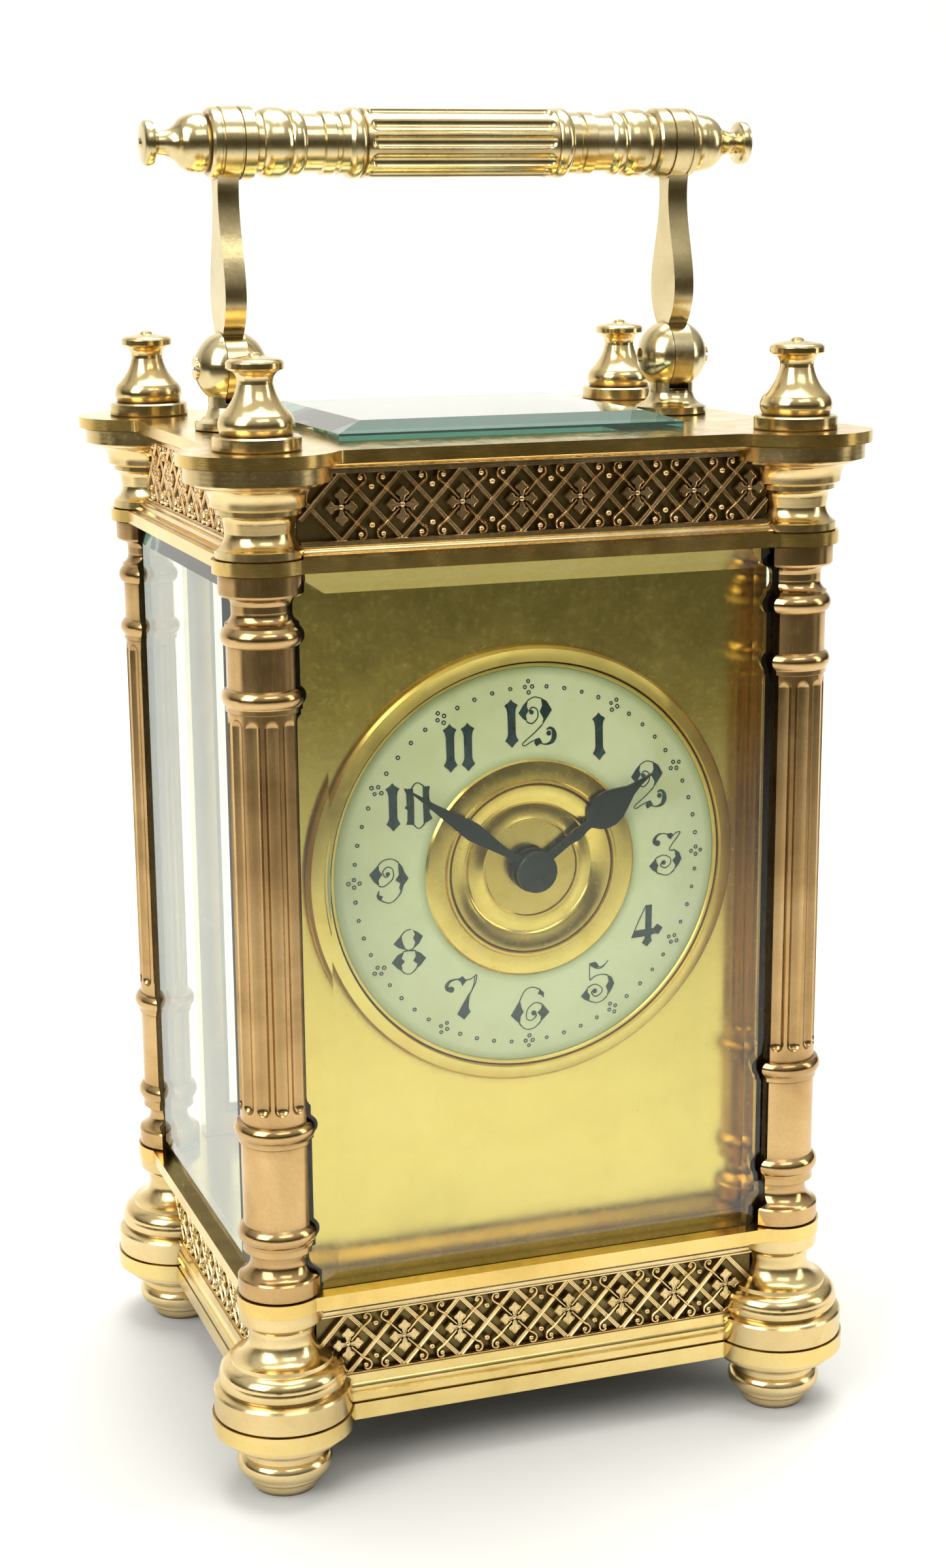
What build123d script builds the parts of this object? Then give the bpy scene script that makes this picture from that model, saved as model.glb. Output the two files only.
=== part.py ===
from build123d import *
import math
import os

# A carriage-style mantel clock: four turned columns between lobed plates, pierced friezes,
# bevelled glass, a swinging carrying handle, a hinged rear door and a platform-escapement movement.
# Millimetres. X is to the right seen from the dial, -Y is the dial side, Z is up, and Z = 0 is
# the surface that the feet stand on.

os.makedirs("parts", exist_ok=True)

# ---- driving dimensions: case -------------------------------------------------------------
COLUMN_X = 36.0            # column axes, left and right of the middle
COLUMN_Y = 29.3            # column axes, in front of and behind the middle
TIE_ROD_R = 1.5            # threaded rod through each corner stack

BOTTOM_PLATE_Z = (8.66, 10.95)
LOWER_RAIL_Z = (25.88, 27.78)
UPPER_RAIL_Z = (122.10, 123.77)
TOP_PLATE_Z = (135.21, 136.72)
BOTTOM_PLATE_PROUD = 2.7   # how far each plate's straight edge stands outside the column axes
RAIL_PROUD = 4.5
TOP_PLATE_PROUD = 4.1
FRIEZE_PROUD = 1.9         # outer face of the pierced friezes
BOTTOM_LOBE_R = 9.41       # radius of each plate's round corner lobes
LOWER_LOBE_R = 5.76
UPPER_LOBE_R = 5.97
TOP_LOBE_R = 9.95

GLASS_PROUD = (0.7, 3.2)   # inner and outer face of the front and side panes
END_BEVEL = 2.7            # across the panes' top and bottom edges
FRONT_BEVEL = 4.0          # along their upright edges, which stand partly in the columns
SIDE_BEVEL = 4.2
GLASS_BEVEL_DEPTH = 0.9
FRONT_GLASS_HALF = 32.9
SIDE_GLASS_HALF = 26.4
TOP_GLASS_HALF = (23.5, 22.0)
TOP_GLASS_Z = (135.71, 138.9)

FLUTE_COUNT = 12
FLUTE_TOOL_R = 1.12
FLUTE_PROUD = 0.5          # the flutes' own axes, outside the surface they are cut in
COLUMN_SHAFT_R = 4.53
COLUMN_FLUTE_Z = (53.0, 104.5)

# ---- driving dimensions: handle -----------------------------------------------------------
PIVOT_Z = 144.8
GRIP_Z = 173.05
ARM_X = 31.45
ARM_THICKNESS = 2.8
BALL_R = 4.8
TONGUE_R = 4.7
SLOT_CLEARANCE = 0.05
PIN_R = 1.0
RUNNING = 0.05             # radial running clearance of every pivot
GRIP_R = 4.45
TENON_R = 2.2
COLLAR_R = 4.6
COLLAR_X = (27.8, 33.8)

# ---- driving dimensions: door -------------------------------------------------------------
DOOR_Y = (28.3, 31.3)
DOOR_HALF = 30.2
DOOR_HINGE_EDGE = -29.6
DOOR_Z = (28.0, 121.88)
DOOR_PIN = (-28.4, 29.8)
DOOR_PIN_R = 0.8
DOOR_STILE = 4.2

# ---- driving dimensions: dial and hands ---------------------------------------------------
DIAL_Z = 80.8
MASK_Y = (-24.5, -23.7)
RING_R = (14.0, 26.6)
BEZEL_R = (26.6, 29.3)
MINUTE_HAND_CLOCK_DEG = -55.0
HOUR_HAND_CLOCK_DEG = 55.2
MINUTE_HAND_LENGTH = 22.1
HOUR_HAND_LENGTH = 20.6
HOUR_PIPE_R = 2.3
CANNON_R = 1.6
ARBOR_R = 1.1

# ---- driving dimensions: movement ---------------------------------------------------------
FRONT_PLATE_Y = (-18.0, -16.0)
BACK_PLATE_Y = (14.0, 16.0)
MOVEMENT_HALF = 24.0
MOVEMENT_Z = (27.78, 116.5)
PLATFORM_Z = (116.5, 118.0)
PLATFORM_HALF = 17.0
TOOTH_SHARE = 0.38         # tooth thickness over pitch, which leaves the backlash
ADDENDUM = 0.8             # in modules
DEDENDUM = 1.15
PIVOT_R = 0.6

BARREL_TEETH, CENTRE_LEAVES, BARREL_MODULE = 84, 12, 0.5
CENTRE_TEETH, THIRD_LEAVES, CENTRE_MODULE = 80, 10, 0.4
THIRD_TEETH, CONTRATE_LEAVES, THIRD_MODULE = 75, 10, 0.36
CONTRATE_TEETH, ESCAPE_LEAVES, CONTRATE_MODULE = 80, 8, 0.3
CANNON_LEAVES, MINUTE_TEETH, HOUR_LEAVES, HOUR_TEETH = 12, 36, 10, 40
MOTION_CENTRES = 10.0
ESCAPE_TEETH = 15
RATCHET_TEETH = 24

THIRD_DIRECTION = 60.0     # degrees from +X, from the centre arbor, in the front view
MINUTE_DIRECTION = -150.0

CORNERS = [(sx * COLUMN_X, sy * COLUMN_Y) for sx in (-1, 1) for sy in (-1, 1)]


# ---- helpers ------------------------------------------------------------------------------
def save(name, *shapes):
    """Write one node: the solids of all the shapes given."""
    solids = [solid for shape in shapes for solid in shape.solids()]
    export_step(solids[0] if len(solids) == 1 else Compound(solids), f"parts/{name}.step")


def outline(points):
    """Closed face in the XY plane. A third value bulges the edge that ends at that point, to
    the right of its direction."""
    edges = []
    for start, end in zip(points, points[1:] + points[:1]):
        a = Vector(start[0], start[1])
        b = Vector(end[0], end[1])
        if len(end) == 3:
            along = (b - a).normalized()
            middle = (a + b) * 0.5 + Vector(along.Y, -along.X) * end[2]
            edges.append(ThreePointArc(a, middle, b))
        else:
            edges.append(Line(a, b))
    return make_face(Wire(edges))


def turned(profile):
    """Solid of revolution about Z from its outside profile of (radius, height), bottom to top."""
    closed = [(0.0, profile[0][1])] + profile
    if profile[-1][0] > 0.0:
        closed = closed + [(0.0, profile[-1][1])]
    return revolve(Plane.XZ * outline(closed), Axis.Z)


def turned_y(profile, x=0.0, z=0.0):
    """Solid of revolution about a line along Y, from (radius, y), front to back."""
    return Pos(x, 0, z) * Rot(-90, 0, 0) * turned(profile)


def turned_x(profile):
    """Solid of revolution about X, from (radius, x), left to right."""
    return Rot(0, 90, 0) * turned(profile)


def rod_z(radius, x, y, z0, z1):
    return Pos(x, y, (z0 + z1) / 2) * Cylinder(radius, z1 - z0)


def rod_y(radius, x, z, y0, y1):
    return Pos(x, (y0 + y1) / 2, z) * Rot(90, 0, 0) * Cylinder(radius, y1 - y0)


def rod_x(radius, y, z, x0, x1):
    return Pos((x0 + x1) / 2, y, z) * Rot(0, 90, 0) * Cylinder(radius, x1 - x0)


def block(x, y, z):
    """Box from (low, high) on each axis."""
    size = (x[1] - x[0], y[1] - y[0], z[1] - z[0])
    return Pos((x[0] + x[1]) / 2, (y[0] + y[1]) / 2, (z[0] + z[1]) / 2) * Box(*size)


def slab_y(sketch, y0, y1):
    """Extrude a front-view sketch (x, z) from y0 back to y1."""
    return Pos(0, y0, 0) * extrude(Plane.XZ * sketch, -(y1 - y0))


def slab_z(sketch, z0, z1):
    return Pos(0, 0, z0) * extrude(sketch, z1 - z0)


def at_corners(shape):
    return [Pos(x, y, 0) * shape for x, y in CORNERS]


def bored(shape, radius=TIE_ROD_R):
    """A corner piece with the hole for the tie rod."""
    return shape - Cylinder(radius, 400)


def lobed_plate(proud, lobe_r, z, concave_r=0.0):
    """Plate with straight edges standing proud of the column axes and a round lobe per corner."""
    back = math.sqrt(lobe_r ** 2 - proud ** 2)
    sketch = Rectangle(2 * (COLUMN_X - back), 2 * (COLUMN_Y + proud))
    sketch += Rectangle(2 * (COLUMN_X + proud), 2 * (COLUMN_Y - back))
    sketch += Rectangle(2 * COLUMN_X, 2 * COLUMN_Y)
    for x, y in CORNERS:
        sketch += Pos(x, y) * Circle(lobe_r)
    if concave_r:
        notches = ((COLUMN_X - back, COLUMN_Y + proud), (COLUMN_X + proud, COLUMN_Y - back))
        inner = [v for v in sketch.vertices() for x, y in notches
                 if math.hypot(abs(v.X) - x, abs(v.Y) - y) < 0.01]
        sketch = fillet(inner, concave_r)
    plate = slab_z(sketch, *z)
    for x, y in CORNERS:
        plate -= rod_z(TIE_ROD_R, x, y, z[0] - 1, z[1] + 1)
    return plate


def side_bars(profile, cutters):
    """Four straight bars, one per side, of a (proud, z) section, cut where corner pieces pass."""
    bars = []
    for half_length, axis_distance, turn in (
        (COLUMN_X - 4.5, COLUMN_Y, 0), (COLUMN_Y - 4.5, COLUMN_X, 90),
        (COLUMN_X - 4.5, COLUMN_Y, 180), (COLUMN_Y - 4.5, COLUMN_X, 270),
    ):
        section = outline([(-(axis_distance + p[0]), p[1]) + tuple(p[2:]) for p in profile])
        bar = Pos(-half_length, 0, 0) * extrude(Plane.YZ * section, 2 * half_length)
        bar = Rot(0, 0, turn) * bar
        for cutter in cutters:
            bar -= cutter
        bars.append(bar)
    return bars


# ---- gears --------------------------------------------------------------------------------
PRESSURE = math.radians(20)


def involute(angle):
    return math.tan(angle) - angle


def gear_face(teeth, module, steps=2):
    """Outline of a gear centred on the origin, with one tooth on the +X axis."""
    pitch_r = teeth * module / 2
    base_r = pitch_r * math.cos(PRESSURE)
    root_r = pitch_r - DEDENDUM * module
    tip_r = pitch_r + ADDENDUM * module
    half = TOOTH_SHARE * math.pi / teeth + involute(PRESSURE)
    radii = [root_r]
    if base_r > root_r:
        radii.append(base_r)
    low = max(root_r, base_r)
    radii += [low + (tip_r - low) * k / steps for k in range(1, steps + 1)]
    flank = []
    for r in radii:
        roll = math.acos(min(1.0, base_r / r)) if r > base_r else 0.0
        flank.append((r, half - involute(roll)))
    points = []
    for tooth in range(teeth):
        middle = 2 * math.pi * tooth / teeth
        for r, a in flank:
            points.append((r * math.cos(middle - a), r * math.sin(middle - a)))
        for r, a in reversed(flank):
            points.append((r * math.cos(middle + a), r * math.sin(middle + a)))
    return make_face(Polyline(*points, close=True))


def crossings(rim_r, hub_r, spokes, width):
    """The windows between a wheel's spokes."""
    windows = Circle(rim_r) - Circle(hub_r)
    for k in range(spokes):
        windows -= Rot(0, 0, 360 * k / spokes + 17) * Pos(rim_r / 2, 0) * Rectangle(rim_r * 1.1, width)
    return windows


def placed(face, x, z, turn_deg):
    return Pos(x, z) * Rot(0, 0, turn_deg) * face


def polar(x, z, distance, angle_deg):
    angle = math.radians(angle_deg)
    return (x + distance * math.cos(angle), z + distance * math.sin(angle))


def direction(a, b):
    return math.degrees(math.atan2(b[1] - a[1], b[0] - a[0]))


# Arbor positions in the front view (x, z).
CENTRE_AT = (0.0, DIAL_Z)
BARREL_AT = polar(*CENTRE_AT, (BARREL_TEETH + CENTRE_LEAVES) * BARREL_MODULE / 2, -90)
THIRD_AT = polar(*CENTRE_AT, (CENTRE_TEETH + THIRD_LEAVES) * CENTRE_MODULE / 2, THIRD_DIRECTION)
CONTRATE_R = CONTRATE_TEETH * CONTRATE_MODULE / 2
CONTRATE_Z = PLATFORM_Z[0] - CONTRATE_R - 1.5
CONTRATE_REACH = (THIRD_TEETH + CONTRATE_LEAVES) * THIRD_MODULE / 2
CONTRATE_RISE = CONTRATE_Z - THIRD_AT[1]
CONTRATE_AT = (THIRD_AT[0] - math.sqrt(CONTRATE_REACH ** 2 - CONTRATE_RISE ** 2), CONTRATE_Z)
MINUTE_AT = polar(*CENTRE_AT, MOTION_CENTRES, MINUTE_DIRECTION)

# Contrate teeth stand on the wheel's rear face, and the escape pinion runs down behind them.
CONTRATE_RIM_Y = 6.2
CONTRATE_PITCH_Y = CONTRATE_RIM_Y + 0.4
ESCAPE_PINION_R = ESCAPE_LEAVES * CONTRATE_MODULE / 2
ESCAPE_AT = (CONTRATE_AT[0], CONTRATE_PITCH_Y + ESCAPE_PINION_R)
LEVER_DIRECTION = -50.0
LEVER_DISTANCE = 6.6
LEVER_AT = polar(*ESCAPE_AT, LEVER_DISTANCE, LEVER_DIRECTION)
BALANCE_AT = polar(*LEVER_AT, 7.0, LEVER_DIRECTION)

# ---- corner stacks ------------------------------------------------------------------------
foot = turned([
    (4.1, 0), (4.35, 0.4), (4.75, 1.4, 0.1), (5.25, 1.9), (5.25, 2.4), (6.0, 2.6), (6.0, 4.8, 0.4),
    (5.66, 5.1), (5.66, 5.8), (7.2, 6.9, -0.35), (7.53, 7.13), (8.1, 7.6, 0.12), (8.2, 8.66),
])
solid_pedestal = turned([
    (9.0, 10.95), (9.16, 11.2), (9.16, 14.15), (8.95, 14.45), (8.2, 14.8), (8.35, 16.5, 0.2),
    (7.25, 18.1, 0.3), (6.9, 18.25), (6.8, 18.8), (4.4, 22.5, -1.0), (4.4, 23.0), (5.5, 24.0, -0.25),
    (5.55, 24.2), (5.55, 25.88),
])
column = turned([
    (5.3, 27.78), (5.49, 28.05), (5.49, 30.2), (5.3, 30.44), (3.92, 33.2, -0.6), (3.92, 33.6),
    (4.75, 33.9), (4.75, 34.7), (4.9, 35.2), (4.9, 37.3, 0.42), (4.58, 37.6), (4.58, 48.6),
    (4.85, 48.8), (4.85, 49.3), (4.95, 49.5), (4.95, 51.5, 0.45), (COLUMN_SHAFT_R, 51.65),
    (COLUMN_SHAFT_R, 104.9), (4.77, 105.05), (4.77, 105.6), (4.85, 105.75), (4.85, 107.7, 0.4),
    (COLUMN_SHAFT_R, 107.9), (COLUMN_SHAFT_R, 113.1), (4.85, 113.3), (4.85, 115.2, 0.35),
    (4.59, 115.5), (4.59, 115.9), (3.78, 117.4, -0.3), (3.78, 118.2), (5.1, 119.3, -0.35),
    (5.29, 119.6), (5.29, 121.85), (5.1, 122.10),
])
solid_capital = turned([
    (5.4, 123.77), (5.54, 123.95), (5.54, 124.85), (5.36, 125.0), (4.26, 126.9, -0.3), (4.4, 128.1),
    (5.25, 129.2, -0.25), (5.25, 129.75), (5.97, 130.1), (6.0, 130.5), (8.0, 132.7, -0.6),
    (8.3, 132.95), (9.07, 133.14), (9.07, 135.0), (8.9, 135.21),
])
finial = turned([
    (5.3, 136.72), (5.43, 136.95), (5.43, 138.3), (5.2, 138.5), (4.3, 138.6), (4.3, 141.0, 0.4),
    (2.2, 144.6, -0.35), (2.2, 145.0), (3.3, 146.3, -0.3), (3.53, 146.5), (3.53, 147.1),
    (2.9, 147.6, 0.1), (0.9, 147.95), (0.75, 148.2), (0.4, 148.35),
])


def flutes(tool_r, offset, low, high, count=FLUTE_COUNT, start_deg=-4.0):
    """Round-ended grooves around Z, between two heights."""
    tool = Pos(0, 0, (low + high) / 2) * Cylinder(tool_r, high - low - 2 * tool_r)
    for end in (low + tool_r, high - tool_r):
        tool += Pos(0, 0, end) * Sphere(tool_r)
    return [Rot(0, 0, start_deg + 360 * k / count) * Pos(offset, 0, 0) * tool for k in range(count)]


def glass_groove(x, y):
    """Space the two panes beside a corner take out of its column, at the origin."""
    sx = math.copysign(1, x)
    sy = math.copysign(1, y)
    tall = (LOWER_RAIL_Z[1], UPPER_RAIL_Z[0])
    reach = COLUMN_X - FRONT_GLASS_HALF
    side_reach = COLUMN_Y - SIDE_GLASS_HALF
    pieces = [block(sorted((sx * GLASS_PROUD[0], sx * GLASS_PROUD[1])),
                    sorted((-sy * side_reach, -sy * 12.0)), tall)]
    if sy < 0:
        pieces.append(block(sorted((-sx * reach, -sx * 12.0)), (-GLASS_PROUD[1], -GLASS_PROUD[0]), tall))
    return pieces


for flute in flutes(FLUTE_TOOL_R, COLUMN_SHAFT_R + FLUTE_PROUD, *COLUMN_FLUTE_Z):
    column -= flute
column = bored(column)
pedestal = bored(solid_pedestal)
capital = bored(solid_capital)
foot = bored(foot)
finial -= rod_z(TIE_ROD_R, 0, 0, 130, 141.0)

save("feet", *at_corners(foot))
save("pedestals", *at_corners(pedestal))
save("capitals", *at_corners(capital))
save("finials", *at_corners(finial))
for (x, y), name in zip(CORNERS, ("front_left", "rear_left", "front_right", "rear_right")):
    grooved = column
    for groove in glass_groove(x, y):
        grooved -= groove
    save(f"column_{name}", Pos(x, y, 0) * grooved)
save("tie_rods", *at_corners(Pos(0, 0, 71.0) * Cylinder(TIE_ROD_R, 140.0)))

# ---- plates -------------------------------------------------------------------------------
DOOR_PIN_BORE_R = DOOR_PIN_R + RUNNING
bottom_plate = lobed_plate(BOTTOM_PLATE_PROUD, BOTTOM_LOBE_R, BOTTOM_PLATE_Z)
lower_rail = lobed_plate(RAIL_PROUD, LOWER_LOBE_R, LOWER_RAIL_Z)
upper_rail = lobed_plate(RAIL_PROUD, UPPER_LOBE_R, UPPER_RAIL_Z)
top_plate = lobed_plate(TOP_PLATE_PROUD, TOP_LOBE_R, TOP_PLATE_Z, concave_r=2.0)
UPPER_OPENING = (24.0, 20.0)
upper_rail -= block((-UPPER_OPENING[0], UPPER_OPENING[0]), (-UPPER_OPENING[1], UPPER_OPENING[1]),
                    (UPPER_RAIL_Z[0] - 1, UPPER_RAIL_Z[1] + 1))
GLASS_LEDGE = 1.2
top_plate -= block((-TOP_GLASS_HALF[0], TOP_GLASS_HALF[0]), (-TOP_GLASS_HALF[1], TOP_GLASS_HALF[1]),
                   (TOP_GLASS_Z[0], TOP_PLATE_Z[1] + 1))
top_plate -= block((GLASS_LEDGE - TOP_GLASS_HALF[0], TOP_GLASS_HALF[0] - GLASS_LEDGE),
                   (GLASS_LEDGE - TOP_GLASS_HALF[1], TOP_GLASS_HALF[1] - GLASS_LEDGE),
                   (TOP_PLATE_Z[0] - 1, TOP_GLASS_Z[0] + 1))
PIN_BITE = 1.0
lower_rail -= rod_z(DOOR_PIN_BORE_R, *DOOR_PIN, LOWER_RAIL_Z[1] - PIN_BITE - 0.1, LOWER_RAIL_Z[1] + 1)
upper_rail -= rod_z(DOOR_PIN_BORE_R, *DOOR_PIN, UPPER_RAIL_Z[0] - 1, UPPER_RAIL_Z[0] + PIN_BITE + 0.1)
SCREW_AT = [(sx * 20.0, sy) for sx in (-1, 1) for sy in (-17.0, 15.0)]
SCREW_R = 0.8
for x, y in SCREW_AT:
    lower_rail -= rod_z(SCREW_R, x, y, LOWER_RAIL_Z[0] - 1, LOWER_RAIL_Z[1] + 1)
save("bottom_plate", bottom_plate)
save("lower_rail_plate", lower_rail)
save("upper_rail_plate", upper_rail)
save("top_plate", top_plate)

# ---- friezes ------------------------------------------------------------------------------
BASE_FRIEZE_Z = (14.9, 24.6)
TOP_FRIEZE_Z = (125.3, 134.2)
FRET_THICKNESS = 0.5
LINER_PROUD = (0.5, 0.9)
FRET_PITCH = 7.84
FRET_HOLE = 3.2
TOP_FRET_PHASE = 1.38      # the upper strips are not centred on their sides
PEDESTALS = at_corners(solid_pedestal)
CAPITALS = at_corners(solid_capital)

BAR_INNER = -1.5
base_lower = [(2.4, 10.95), (2.6, 11.3), (2.6, 12.3), (2.3, 12.5), (2.1, 13.6, -0.15), (2.1, 14.9),
              (BAR_INNER, 14.9), (BAR_INNER, 10.95)]
base_upper = [(2.1, 24.6), (2.1, 24.85), (3.0, 25.3, -0.1), (3.1, 25.4), (3.1, 25.88),
              (BAR_INNER, 25.88), (BAR_INNER, 24.6)]
top_lower = [(3.5, 123.77), (3.5, 124.1), (2.9, 124.3), (2.3, 125.0, -0.12), (2.3, 125.3),
             (BAR_INNER, 125.3), (BAR_INNER, 123.77)]
top_upper = [(2.3, 134.2), (2.3, 134.4), (3.3, 135.0, -0.12), (3.3, 135.21),
             (BAR_INNER, 135.21), (BAR_INNER, 134.2)]
save("base_moulding", *side_bars(base_lower, PEDESTALS), *side_bars(base_upper, PEDESTALS))
save("top_moulding", *side_bars(top_lower, CAPITALS), *side_bars(top_upper, CAPITALS))


def strip(proud, z):
    """Section of an upright strip between two distances outside the column axes."""
    return [(proud[1], z[0]), (proud[1], z[1]), (proud[0], z[1]), (proud[0], z[0])]


def fret_panels(z, cutters, phase):
    """Four thin panels, each pierced by a row of diamonds."""
    panels = side_bars(strip((FRIEZE_PROUD - FRET_THICKNESS, FRIEZE_PROUD), z), cutters)
    middle = (z[0] + z[1]) / 2
    for index, reach in enumerate((3, 2, 3, 2)):
        for k in range(-reach, reach + 1):
            tool = Rot(0, 45, 0) * Box(FRET_HOLE, 100, FRET_HOLE)
            tool = Pos(k * FRET_PITCH + phase, -50, middle) * tool
            panels[index] -= Rot(0, 0, 90 * index) * tool
    return panels


save("frieze_liners", *side_bars(strip(LINER_PROUD, BASE_FRIEZE_Z), PEDESTALS),
     *side_bars(strip(LINER_PROUD, TOP_FRIEZE_Z), CAPITALS))
save("base_fretwork", *fret_panels(BASE_FRIEZE_Z, PEDESTALS, 0.0))
save("top_fretwork", *fret_panels(TOP_FRIEZE_Z, CAPITALS, TOP_FRET_PHASE))


# ---- glass --------------------------------------------------------------------------------
def pane(width, height, thickness, bevels, depth):
    """Pane standing in the XZ plane with its bevelled face towards -Y and its back on y = 0."""
    back = Pos(0, -(thickness - depth) / 2, 0) * Box(width, thickness - depth, height)
    edge = Plane.XZ.offset(thickness - depth) * Rectangle(width, height)
    face = Plane.XZ.offset(thickness) * Rectangle(width - 2 * bevels[0], height - 2 * bevels[1])
    return back + loft([edge, face])


PANE_Z = (LOWER_RAIL_Z[1], UPPER_RAIL_Z[0])
PANE_THICKNESS = GLASS_PROUD[1] - GLASS_PROUD[0]
pane_middle = (PANE_Z[0] + PANE_Z[1]) / 2
pane_height = PANE_Z[1] - PANE_Z[0]
front = pane(2 * FRONT_GLASS_HALF, pane_height, PANE_THICKNESS, (FRONT_BEVEL, END_BEVEL), GLASS_BEVEL_DEPTH)
side = pane(2 * SIDE_GLASS_HALF, pane_height, PANE_THICKNESS, (SIDE_BEVEL, END_BEVEL), GLASS_BEVEL_DEPTH)
save("front_glass", Pos(0, -(COLUMN_Y + GLASS_PROUD[0]), pane_middle) * front)
save("left_glass", Pos(-(COLUMN_X + GLASS_PROUD[0]), 0, pane_middle) * Rot(0, 0, -90) * side)
save("right_glass", Pos(COLUMN_X + GLASS_PROUD[0], 0, pane_middle) * Rot(0, 0, 90) * side)
top_thickness = TOP_GLASS_Z[1] - TOP_GLASS_Z[0]
top_pane = pane(2 * TOP_GLASS_HALF[0], 2 * TOP_GLASS_HALF[1], top_thickness, (4.0, 4.0), 1.3)
save("top_glass", Pos(0, 0, TOP_GLASS_Z[0]) * Rot(-90, 0, 0) * top_pane)

# ---- rear door ----------------------------------------------------------------------------
door_outer = block((DOOR_HINGE_EDGE, DOOR_HALF), DOOR_Y, DOOR_Z)
opening_x = (DOOR_HINGE_EDGE + DOOR_STILE, DOOR_HALF - DOOR_STILE)
opening_z = (DOOR_Z[0] + DOOR_STILE, DOOR_Z[1] - DOOR_STILE)
DOOR_GLASS_Y = (29.0, 30.6)
DOOR_REBATE = 1.0
glass_x = (opening_x[0] - DOOR_REBATE, opening_x[1] + DOOR_REBATE)
glass_z = (opening_z[0] - DOOR_REBATE, opening_z[1] + DOOR_REBATE)
door_frame = door_outer - block(opening_x, (DOOR_Y[0] - 1, DOOR_Y[1] + 1), opening_z)
door_frame -= block(glass_x, (DOOR_Y[0] - 1, DOOR_GLASS_Y[1]), glass_z)
pins = []
PIN_SPANS = ((LOWER_RAIL_Z[1] - PIN_BITE, DOOR_Z[0] + 3.0), (DOOR_Z[1] - 3.0, UPPER_RAIL_Z[0] + PIN_BITE))
for z0, z1 in PIN_SPANS:
    door_frame -= rod_z(DOOR_PIN_R, *DOOR_PIN, z0, z1)
    pins.append(rod_z(DOOR_PIN_R, *DOOR_PIN, z0, z1))
KNOB_AT = (DOOR_HALF - DOOR_STILE / 2, 78.0)
door_knob = turned_y([(1.0, DOOR_Y[1]), (1.0, 32.1), (1.3, 32.5, 0.1), (1.9, 32.9), (1.9, 33.5, 0.15),
                      (1.2, 34.0, 0.1), (0.6, 34.2)], *KNOB_AT)
save("door_frame", door_frame)
save("door_glass", block(glass_x, DOOR_GLASS_Y, glass_z))
save("door_hinge_pins", *pins)
save("door_knob", door_knob)

# ---- carrying handle ----------------------------------------------------------------------
slot_half = ARM_THICKNESS / 2 + SLOT_CLEARANCE
post = turned([
    (4.7, 136.72), (4.9, 136.9), (4.9, 137.8), (4.6, 138.0), (3.05, 139.7, -0.35), (3.05, 142.0),
])
post += Pos(0, 0, PIVOT_Z) * Sphere(BALL_R)
post -= Pos(0, 0, 140.0 + 10.0) * Box(2 * slot_half, 20, 20)
post -= rod_x(PIN_R, 0, PIVOT_Z, -8, 8)
HEAD_R = 1.5
HEAD_FROM = 4.0
pivot_pin = rod_x(PIN_R, 0, PIVOT_Z, -4.3, HEAD_FROM) + rod_x(HEAD_R, 0, PIVOT_Z, HEAD_FROM, BALL_R + 0.1)
pivot_pin -= Pos(BALL_R + 0.1, 0, PIVOT_Z) * Box(0.8, 4.0, 0.4)
post_right = post - rod_x(HEAD_R, 0, PIVOT_Z, HEAD_FROM, 8)
post_left = mirror(post_right, Plane.YZ)
save("handle_posts", Pos(-ARM_X, 0, 0) * post_left, Pos(ARM_X, 0, 0) * post_right)
save("handle_pivot_pins", Pos(-ARM_X, 0, 0) * mirror(pivot_pin, Plane.YZ), Pos(ARM_X, 0, 0) * pivot_pin)

edge_points = [(1.7, 148.8), (4.0, 154.8), (2.7, 160.2), (1.5, 165.6), (1.9, 169.2)]
mirrored_points = [(-y, z) for y, z in reversed(edge_points)]
blade = make_face(Wire([Spline(*edge_points), Line(edge_points[-1], mirrored_points[0]),
                        Spline(*mirrored_points), Line(mirrored_points[-1], edge_points[0])]))
arm = extrude(Plane.YZ * blade, ARM_THICKNESS / 2, both=True)
arm += rod_x(TONGUE_R, 0, PIVOT_Z, -ARM_THICKNESS / 2, ARM_THICKNESS / 2)
arm -= rod_x(PIN_R + RUNNING, 0, PIVOT_Z, -8, 8)
collar = turned_x([
    (4.3, COLLAR_X[0]), (COLLAR_R, 28.1), (COLLAR_R, 29.6), (4.35, 29.7), (4.35, 29.95), (COLLAR_R, 30.05),
    (COLLAR_R, 32.2), (4.35, 32.3), (4.35, 32.55), (4.5, 32.65), (4.4, 33.5, 0.05), (4.1, COLLAR_X[1]),
])
arm_right = Pos(ARM_X, 0, 0) * arm + Pos(0, 0, GRIP_Z) * collar
arm_right -= rod_x(TENON_R, 0, GRIP_Z, 20, 40)
save("handle_arm_right", arm_right)
save("handle_arm_left", mirror(arm_right, Plane.YZ))

half_grip = [
    (GRIP_R, 0.0), (GRIP_R, 13.2), (4.15, 13.35), (4.15, 15.35, 0.41), (4.0, 15.5), (4.0, 16.5),
    (3.75, 16.7), (3.75, 17.2), (4.05, 17.4), (4.05, 18.8), (3.7, 19.0), (3.7, 21.3), (3.9, 21.5),
    (3.9, 23.2, 0.3), (4.1, 23.4), (4.45, 24.6, 0.08), (4.45, 25.6), (4.1, 26.8, 0.08), (3.9, 27.0),
    (3.9, COLLAR_X[0]),
]
grip_side = turned([(r, z) + tuple(rest) for r, z, *rest in half_grip]
                   + [(TENON_R, COLLAR_X[0]), (TENON_R, 36.0)])
grip = grip_side + mirror(grip_side, Plane.XY)
for flute in flutes(FLUTE_TOOL_R, GRIP_R + FLUTE_PROUD, -13.0, 13.0, start_deg=0.0):
    grip -= flute
save("handle_grip", Pos(0, 0, GRIP_Z) * Rot(0, 90, 0) * grip)
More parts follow.
